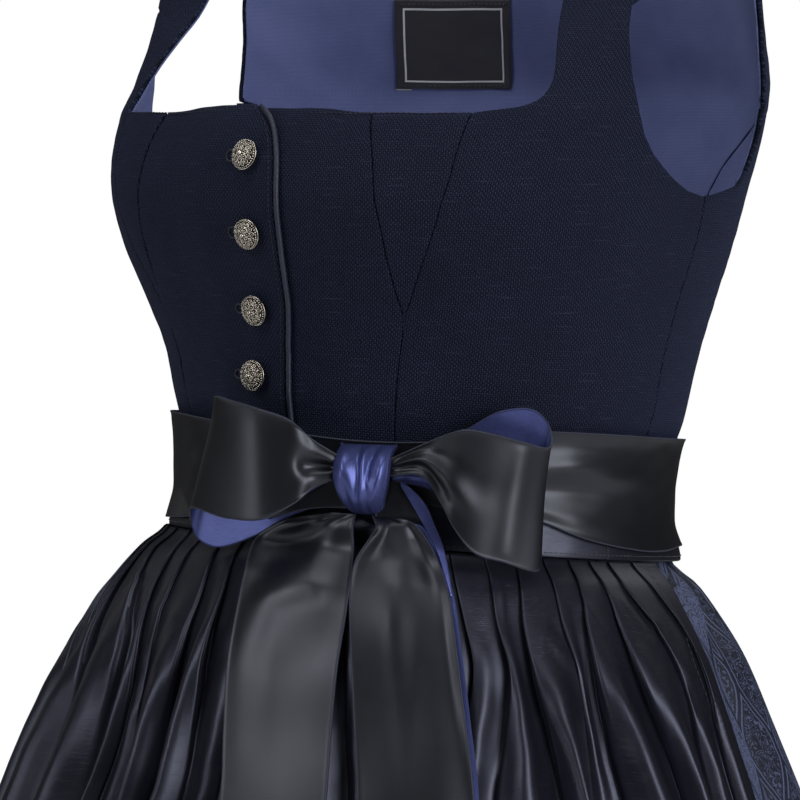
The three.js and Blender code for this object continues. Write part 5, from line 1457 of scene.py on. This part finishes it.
def through(points, t):
    """A centripetal smooth curve through the points, at shares t of their count."""
    points = np.asarray(points, float)
    count = len(points)
    extended = np.concatenate([2 * points[:1] - points[1:2], points, 2 * points[-1:] - points[-2:-1]])
    where = np.asarray(t) * (count - 1)
    i = np.minimum(where.astype(int), count - 2)
    w = (where - i)[:, None]
    p0, p1, p2, p3 = (extended[i + k] for k in range(4))
    spans = ((p0, p1), (p1, p2), (p2, p3))
    d0, d1, d2 = (np.maximum(np.linalg.norm(b - a, axis=1) ** 0.5, 1e-4)[:, None] for a, b in spans)
    m1 = ((p1 - p0) / d0 - (p2 - p0) / (d0 + d1) + (p2 - p1) / d1) * d1
    m2 = ((p2 - p1) / d1 - (p3 - p1) / (d1 + d2) + (p3 - p2) / d2) * d1
    return p1 + m1 * w + (-3 * p1 + 3 * p2 - 2 * m1 - m2) * w**2 + (2 * p1 - 2 * p2 + m1 + m2) * w**3


def ribbon_piece(node, rows, where, steps, flip, folds, turned=None):
    """A ribbon along rows, shaped by folds(t, share) in millimetres along its normal, with an overcast edge.
    Where turned(t) is above 0, the ribbon is doubled under at its first edge, and its back shows by that."""
    edge_share = np.array([0, 0.4, 0.8, 1.3, 2.2]) / RIBBON_WIDTH
    share = np.concatenate([edge_share, np.linspace(0.06, 0.94, 40), 1 - edge_share[::-1]])
    t = np.linspace(0, 1, steps)
    points = np.stack([through([where(row, s) for row in rows], t) for s in share])
    along = unit(np.gradient(points, axis=1))
    sideways = unit(np.gradient(points, axis=0))
    normal = unit(np.cross(along, sideways)) * (-1 if flip else 1)
    width = distance_along(points)
    length = distance_along(points[len(share) // 2])
    from_edge = np.minimum(width, width[-1] - width)
    raised = folds(t[None, :] + 0 * share[:, None], share[:, None] + 0 * t[None, :], length[None, :])
    rim = 0.2 * np.exp(-(((from_edge - 0.55) / 0.4) ** 2))
    facing = points + normal * (raised + rim)[..., None]
    behind = points + normal * (raised - RIBBON)[..., None]
    uv = np.stack([length[None, :] + 0 * width, width], -1)
    cloth = Cloth()
    if flip:
        cloth.add(behind, facing, uv, edge=from_edge)
        if turned is not None:
            strip = slice(0, 16)
            rolled = np.linspace(1, 0, 16)[:, None] + 0 * t[None, :]
            shift = (turned(t)[None, :] * rolled)[..., None]
            under = behind[strip] - normal[strip] * 0.5 - sideways[strip] * shift
            strip_uv = np.stack([uv[strip][..., 0], rolled * 12], -1)
            cloth.add(under - normal[strip] * 0.9, under, strip_uv, edge=(1 - rolled) * 12)
            cloth.kinds[-6:] = [np.zeros_like(kind) for kind in cloth.kinds[-6:]]
        piece = sew(cloth, node, RIBBON_SIDES)
        piece.data.polygons.foreach_set("material_index", np.where(np.concatenate(cloth.kinds) == 0, 1, 0))
    else:
        sew(cloth.add(facing, behind, uv, edge=from_edge), node, RIBBON_SIDES, inside=1)


def gathered(near_knot, share, depth, folds, phase=0.0, reach=0.14):
    """Small folds at the knot that die away along the ribbon."""
    return depth * np.exp(-near_knot / reach) * np.sin(2 * math.pi * folds * share + phase)


def loop_folds(table, folds, phase):
    def shape(t, share, length):
        front, back = np.clip(t / 0.5, 0, 1), np.clip((1 - t) / 0.5, 0, 1)
        total = gathered(front, share, 0.5, folds, phase) * (t < 0.5)
        total = total - gathered(back, share, 0.4, folds, phase) * (t >= 0.5)
        total = total + creases(front, share, table) * (1 - smoothstep(t, 0.42, 0.5))
        edge = smoothstep(np.minimum(share, 1 - share), 0, 0.08)
        off_the_ends = smoothstep(t, 0, 0.03) * (1 - smoothstep(t, 0.97, 1))
        slack = 0.1 * waves(length + 0 * share, share * 60, 34, seed=51)
        return total * lerp(0.35, 1, edge) * off_the_ends + slack

    return shape


def tail_folds(table, seed):
    def shape(t, share, length):
        total = gathered(t, share, 0.6, 2.5, 0.6, 0.08) + creases(t, share, table)
        calm = smoothstep(np.minimum(share, 1 - share), 0, 0.1)
        slow = 1.6 * waves(length * 0.4 + 0 * share, share * 24, 70, seed=seed) * smoothstep(t, 0.4, 0.7)
        slack = 0.08 * waves(length + 0 * share, share * 60, 30, seed=seed + 1)
        return total * lerp(0.4, 1, calm) * smoothstep(t, 0, 0.05) + slow + slack

    return shape


# Creases as (share along, share across) from the knot and the lower edge: start, end, width and height.
RIGHT_LOOP_CREASES = [
    ((0.0, 0.46), (0.38, 0.42), 0.13, -2.2), ((0.0, 0.24), (0.4, 0.2), 0.14, 1.3),
    ((0.0, 0.74), (0.4, 0.82), 0.15, 0.9),
]
LEFT_LOOP_CREASES = [
    ((0.0, 0.84), (0.3, 0.88), 0.08, -1.2), ((0.05, 0.66), (0.6, 0.3), 0.13, 2.0),
    ((0.04, 0.36), (0.4, 0.16), 0.1, -1.6), ((0.25, 0.85), (0.75, 0.5), 0.16, -1.3),
    ((0.84, -0.1), (0.86, 1.1), 0.06, 1.2),
]
RIGHT_TAIL_CREASES = [
    ((0.12, 0.3), (0.33, 0.95), 0.09, -2.2), ((0.2, 0.18), (0.42, 0.92), 0.09, 2.4),
    ((0.3, 0.1), (0.5, 0.8), 0.13, -1.4), ((0.08, 0.62), (0.2, 1.0), 0.06, 1.0),
]
LEFT_TAIL_CREASES = [
    ((0.14, 0.8), (0.5, 0.45), 0.2, 2.2), ((0.1, 0.2), (0.42, 0.1), 0.1, -1.4),
    ((0.5, -0.1), (0.6, 0.95), 0.13, -3.0), ((0.66, 0.1), (0.74, 1.0), 0.16, 1.4),
]


# Short stretches of ribbon at the knot, as rows like the tails': the turned-under edge and the face of the
# left tail where it leaves the knot, and the back of the right loop where it goes into the knot.
TURNED_EDGE = [
    (9, 34, -21.5, 34.1, -23.3), (10, 35.7, -16, 36.5, -19.7), (11, 37.4, -10.1, 39.1, -14),
    (11, 39, -3.8, 41, -5), (10.5, 40.8, 4.3, 42.4, 4), (9.5, 41.9, 13, 42.9, 12.5),
    (8.5, 43, 25, 43.3, 24.5),
]
TAIL_NECK = [
    (7, 29, -23, 34.5, -23), (7.8, 29, -15, 36.2, -17.5), (8.4, 29, -7, 37.9, -11),
    (8, 29.5, -1, 39.4, -5), (7, 32, 4, 40.8, 3.5), (6, 36, 8, 41.5, 8),
]
LOOP_BACK = [
    (8.5, 6.9, -1.7, 6.8, -2.2), (8.4, 13.9, -7, 13.2, -11.5), (8.2, 18.8, -9, 18.4, -19),
    (7.6, 23.2, -9.4, 22.2, -27),
]


def short_stretch(name, rows, finishes, low_rim=False):
    t, share = np.linspace(0, 1, 50), np.linspace(0, 1, 19)
    points = np.stack([through([over_apron(row, s) for row in rows], t) for s in share])
    along, sideways = unit(np.gradient(points, axis=1)), unit(np.gradient(points, axis=0) + 1e-6)
    normal = unit(np.cross(along, sideways))
    normal = normal * np.sign(normal[9, 25].dot(knot_outward))
    width = distance_along(points)
    uv = np.stack([np.linspace(0, 45, 50) + 0 * width, width], -1)
    facing, behind = points, points - normal * 0.8
    if np.cross(sideways[9, 25], along[9, 25]).dot(normal[9, 25]) > 0:
        facing, behind = behind, facing
    from_rim = (width[-1:] - width if low_rim else width) + 0.3
    return trim(Cloth().add(facing, behind, uv, edge=from_rim).piece(name, finishes))


def build_bow():
    short_stretch("bow_left_tail_turned_edge", TURNED_EDGE, navy_satin)
    short_stretch("bow_left_tail_neck", TAIL_NECK, black_satin)
    short_stretch("bow_right_loop_back", LOOP_BACK, black_satin, low_rim=True)
    ribbon_piece("bow_right_loop", RIGHT_LOOP, over_belt, 170, True, loop_folds(RIGHT_LOOP_CREASES,
        3.2, 0.4))
    ribbon_piece("bow_left_loop", LEFT_LOOP, over_belt, 170, False, loop_folds(LEFT_LOOP_CREASES, 3.4, 2.2))
    ribbon_piece("bow_right_tail", RIGHT_TAIL, over_apron, 210, True, tail_folds(RIGHT_TAIL_CREASES, 61))
    ribbon_piece("bow_left_tail", LEFT_TAIL, over_apron, 210, True, tail_folds(LEFT_TAIL_CREASES, 67),
                 turned=lambda t: 2.2 * smoothstep(t, 0.04, 0.12))


KNOT_CREASES = [  # start and end as (share across from the middle, share up), width and height
    ((0.2, 0.5), (0.5, 1.05), 0.13, -3.2), ((0.1, 0.45), (-0.3, 1.0), 0.15, -2.2),
    ((-0.15, 0.1), (-0.75, 0.95), 0.2, 1.8), ((0.15, 0.0), (0.12, 0.95), 0.15, 2.0),
    ((0.45, 0.1), (0.9, 0.8), 0.14, 1.5), ((-0.45, 0.05), (-0.5, 0.55), 0.16, -1.6),
]


def build_knot():
    """The wrap round the middle of the bow, wider at the top, with folds that open from its lower end."""
    t = np.linspace(0, 1, 90)[:, None]
    across = np.linspace(-1, 1, 61)[None, :]
    h, d = KNOT_HEIGHT + 5, KNOT_DEPTH + 2
    up = (-h / 2) * (1 - t) ** 3 + 3 * (-h / 2) * (1 - t) ** 2 * t + 3 * (h / 2) * (1 - t) * t**2 + (h
        / 2) * t**3
    out = 3 * d * (1 - t) ** 2 * t + 3 * d * 1.05 * (1 - t) * t**2
    half = lerp(6.8, 13.2, smoothstep(t, 0.0, 0.6))
    folds = creases(across, t, KNOT_CREASES)
    turned = (1 - np.sqrt(np.maximum(0, 1 - (np.abs(across) ** 5)))) * 6
    body = out + (folds - turned) * smoothstep(out, 0, 6)
    middle = knot_place + up[..., None] * KNOT_UP + body[..., None] * knot_outward + (across * half)[...,
        None] * knot_across
    along_up, along_side = np.gradient(middle, axis=0), np.gradient(middle, axis=1)
    normal = unit(np.cross(along_side, along_up))
    uv = np.stack([np.cumsum(np.linalg.norm(along_up, axis=-1), 0), (across + 1) * half], -1)
    from_edge = np.minimum(across + 1, 1 - across) * half
    sew(Cloth().add(middle, middle - normal * RIBBON, uv, edge=from_edge), "bow_knot", navy_satin)


build_bodice()
build_lining()
build_label()
build_piping()
for count, (at, across) in enumerate(BUTTONS, 1):
    build_button(count, at, across)
    build_buttonhole(count, at, across)
build_neck_stitches()
build_skirt()
build_apron()
build_waistband()
build_belt()
build_bow()
build_knot()


# ------------------------------------------------------------------ floor, light and camera
LIGHT_AIM = Vector((0, 0, -0.3))
FLOOR_RADIUS, FLOOR_HEIGHT = 2.4, -1.0485
AMBIENT, AMBIENT_IN_GLOSS = 0.09, 0.03  # dark flags round the set keep the satin's reflections deep


def pale_floor():
    material, n, shader, _ = finish("pale_floor", specular=0.2)
    n.put(shader.inputs["Base Color"], n.mix(n.noise(n.add("TexCoord").outputs["Object"], 3.0, 3.0),
        (0.80, 0.80, 0.80), (0.84, 0.84, 0.835)))
    shader.inputs["Roughness"].default_value = 0.8
    bpy.ops.mesh.primitive_circle_add(vertices=96, radius=FLOOR_RADIUS, fill_type="NGON",
                                          location=(0, 0, FLOOR_HEIGHT))
    floor = bpy.context.object
    floor.name = "floor"
    floor.data.materials.append(material)


def softbox(name, azimuth, elevation, distance, size, power):
    """A soft area light: azimuth is measured from the front to the wearer's left."""
    light = bpy.data.lights.new(name, "AREA")
    light.shape, light.size, light.size_y = "RECTANGLE", *size
    light.energy = power
    lamp = bpy.data.objects.new(name, light)
    a, e = math.radians(azimuth), math.radians(elevation)
    away = Vector((math.sin(a) * math.cos(e), -math.cos(a) * math.cos(e), math.sin(e)))
    lamp.location = LIGHT_AIM + distance * away
    lamp.rotation_mode = "QUATERNION"
    lamp.rotation_quaternion = (LIGHT_AIM - lamp.location).to_track_quat("-Z", "Y")
    bpy.context.scene.collection.objects.link(lamp)


LIGHTS = [  # name, azimuth, elevation, distance, width and height, and power in watts
    ("key_left_side", 84, 16, 2.5, (1.2, 2.2), 46),
    ("front", -10, 36, 2.5, (0.8, 0.8), 12),
    ("front_low", -34, 0, 2.6, (0.8, 1.2), 8),
    ("right_side", -95, 18, 2.5, (0.6, 1.8), 0.9),
    ("top", 15, 80, 2.3, (1.5, 1.2), 15),
    ("back", 188, 40, 2.6, (1.4, 1.2), 6),
]


def set_light():
    for light in LIGHTS:
        softbox(*light)
    world = bpy.data.worlds.new("studio")
    bpy.context.scene.world = world
    world.use_nodes = True
    n = Nodes(world.node_tree)
    ambient = world.node_tree.nodes["Background"]
    ambient.inputs["Color"].default_value = (1, 1, 1, 1)
    ray = n.add("LightPath").outputs
    n.put(ambient.inputs["Strength"], n.times_plus(ray["Is Glossy Ray"], AMBIENT_IN_GLOSS - AMBIENT,
        AMBIENT))
    seen = n.add("Background", {"Color": (1, 1, 1, 1), "Strength": 1.0})
    both = n.add("MixShader", {0: ray["Is Camera Ray"], 1: ambient.outputs[0], 2: seen.outputs[0]})
    world.node_tree.links.new(both.outputs[0], world.node_tree.nodes["World Output"].inputs["Surface"])
    view = bpy.context.scene.view_settings
    view.view_transform, view.look, view.exposure = "Standard", "None", 0.0


CAMERA_AZIMUTH = 42  # degrees from the front to the wearer's left
CAMERA_DISTANCE, CAMERA_HEIGHT, AIM_HEIGHT, CAMERA_ASIDE = 1.9, 0.205, 0.068, -0.0108  # metres from the waist
PIXELS_A_MILLIMETRE, PICTURE_WIDTH, SENSOR_WIDTH = 2.13, 800, 36


def set_camera():
    azimuth = math.radians(CAMERA_AZIMUTH)
    right = Vector((math.cos(azimuth), math.sin(azimuth), 0))
    toward = Vector((math.sin(azimuth), -math.cos(azimuth), 0))
    origin = SHOULDER_HEIGHT / 1000
    camera = bpy.data.objects.new("camera", bpy.data.cameras.new("camera"))
    camera.location = toward * CAMERA_DISTANCE + right * CAMERA_ASIDE + Vector((0, 0, CAMERA_HEIGHT
        - origin))
    aim = right * CAMERA_ASIDE + Vector((0, 0, AIM_HEIGHT - origin))
    camera.rotation_mode = "QUATERNION"
    camera.rotation_quaternion = (aim - camera.location).to_track_quat("-Z", "Y")
    camera.data.sensor_width = SENSOR_WIDTH
    away = (aim - camera.location).length * 1000
    camera.data.lens = PIXELS_A_MILLIMETRE * away / PICTURE_WIDTH * SENSOR_WIDTH
    bpy.context.scene.collection.objects.link(camera)
    bpy.context.scene.camera = camera


# ------------------------------------------------------------------ the cut of each cloth
# Width and length cut, in metres, how it is held, what it lies on, and its area where it isn't a rectangle.
SHEETS = {
    "front_left_centre_cloth": ((0.098, 0.197), "stretched", ["lining_front_left"], 0.0166),
    "front_right_centre_cloth": ((0.1, 0.197), "stretched", ["lining_front_right", "front_left_centre"],
    0.0172),
    "front_left_gusset_cloth": ((0.052, 0.092), "stretched", ["lining_front_left"], 0.00254),
    "front_right_gusset_cloth": ((0.052, 0.092), "stretched", ["lining_front_right"], 0.00254),
    "front_left_side_cloth": ((0.2, 0.42), "stretched", ["lining_front_left"], 0.034),
    "front_right_side_cloth": ((0.2, 0.42), "stretched", ["lining_front_right"], 0.0365),
    "back_left_side_cloth": ((0.14, 0.2), "stretched", ["lining_back"], 0.0228),
    "back_right_side_cloth": ((0.14, 0.2), "stretched", ["lining_back"], 0.0228),
    "back_centre_cloth": ((0.36, 0.46), "stretched", ["lining_back"], 0.07),
    "lining_front_left_cloth": ((0.25, 0.41), "stretched", ["front_left_side"], 0.0438),
    "lining_front_right_cloth": ((0.25, 0.41), "stretched", ["front_right_side"], 0.0465),
    "lining_back_cloth": ((0.6, 0.46), "stretched", ["back_centre"], 0.11),
    "neck_label": ((0.065, 0.047), "stretched", ["lining_back"], None),
    "skirt_front_cloth": ((1.15, 0.66), "gathered", ["front_left_side", "front_right_side"], None),
    "skirt_back_cloth": ((1.15, 0.66), "gathered", ["back_centre", "skirt_front"], None),
    "apron_cloth": ((1.15, 0.634), "gathered", ["apron_waistband", "skirt_front"], None),
    "apron_waistband_cloth": ((0.575, 0.046), "stretched", ["front_left_side", "front_right_side"], None),
    "ribbon_belt_cloth": ((0.065, 0.71), "stretched", ["apron_waistband"], None),
    "bow_right_loop_cloth": ((0.065, 0.115), "folded", ["bow_knot", "ribbon_belt"], None),
    "bow_left_loop_cloth": ((0.065, 0.115), "folded", ["bow_knot", "ribbon_belt"], None),
    "bow_right_tail_cloth": ((0.065, 0.49), "hung", ["bow_knot", "apron"], None),
    "bow_left_tail_cloth": ((0.065, 0.52), "hung", ["bow_knot", "apron"], None),
    "bow_knot_cloth": ((0.035, 0.045), "folded", ["ribbon_belt"], None),
}
ON_A_SHEET = {
    "apron_cloth": ["apron_hem_stitches"], "apron_waistband_cloth": ["waistband_stitches"],
    "neck_label": ["label_stitches", "label_tack"],
    "bow_left_tail_cloth": ["bow_left_tail_turned_edge", "bow_left_tail_neck"],
    "bow_right_loop_cloth": ["bow_right_loop_back"],
}
for sheet_name, (flat, held, rests_on, area) in SHEETS.items():
    cloth_pieces = [bpy.data.objects[other] for other in ON_A_SHEET.get(sheet_name, [])]
    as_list(rests_on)

pale_floor()
set_light()
set_camera()
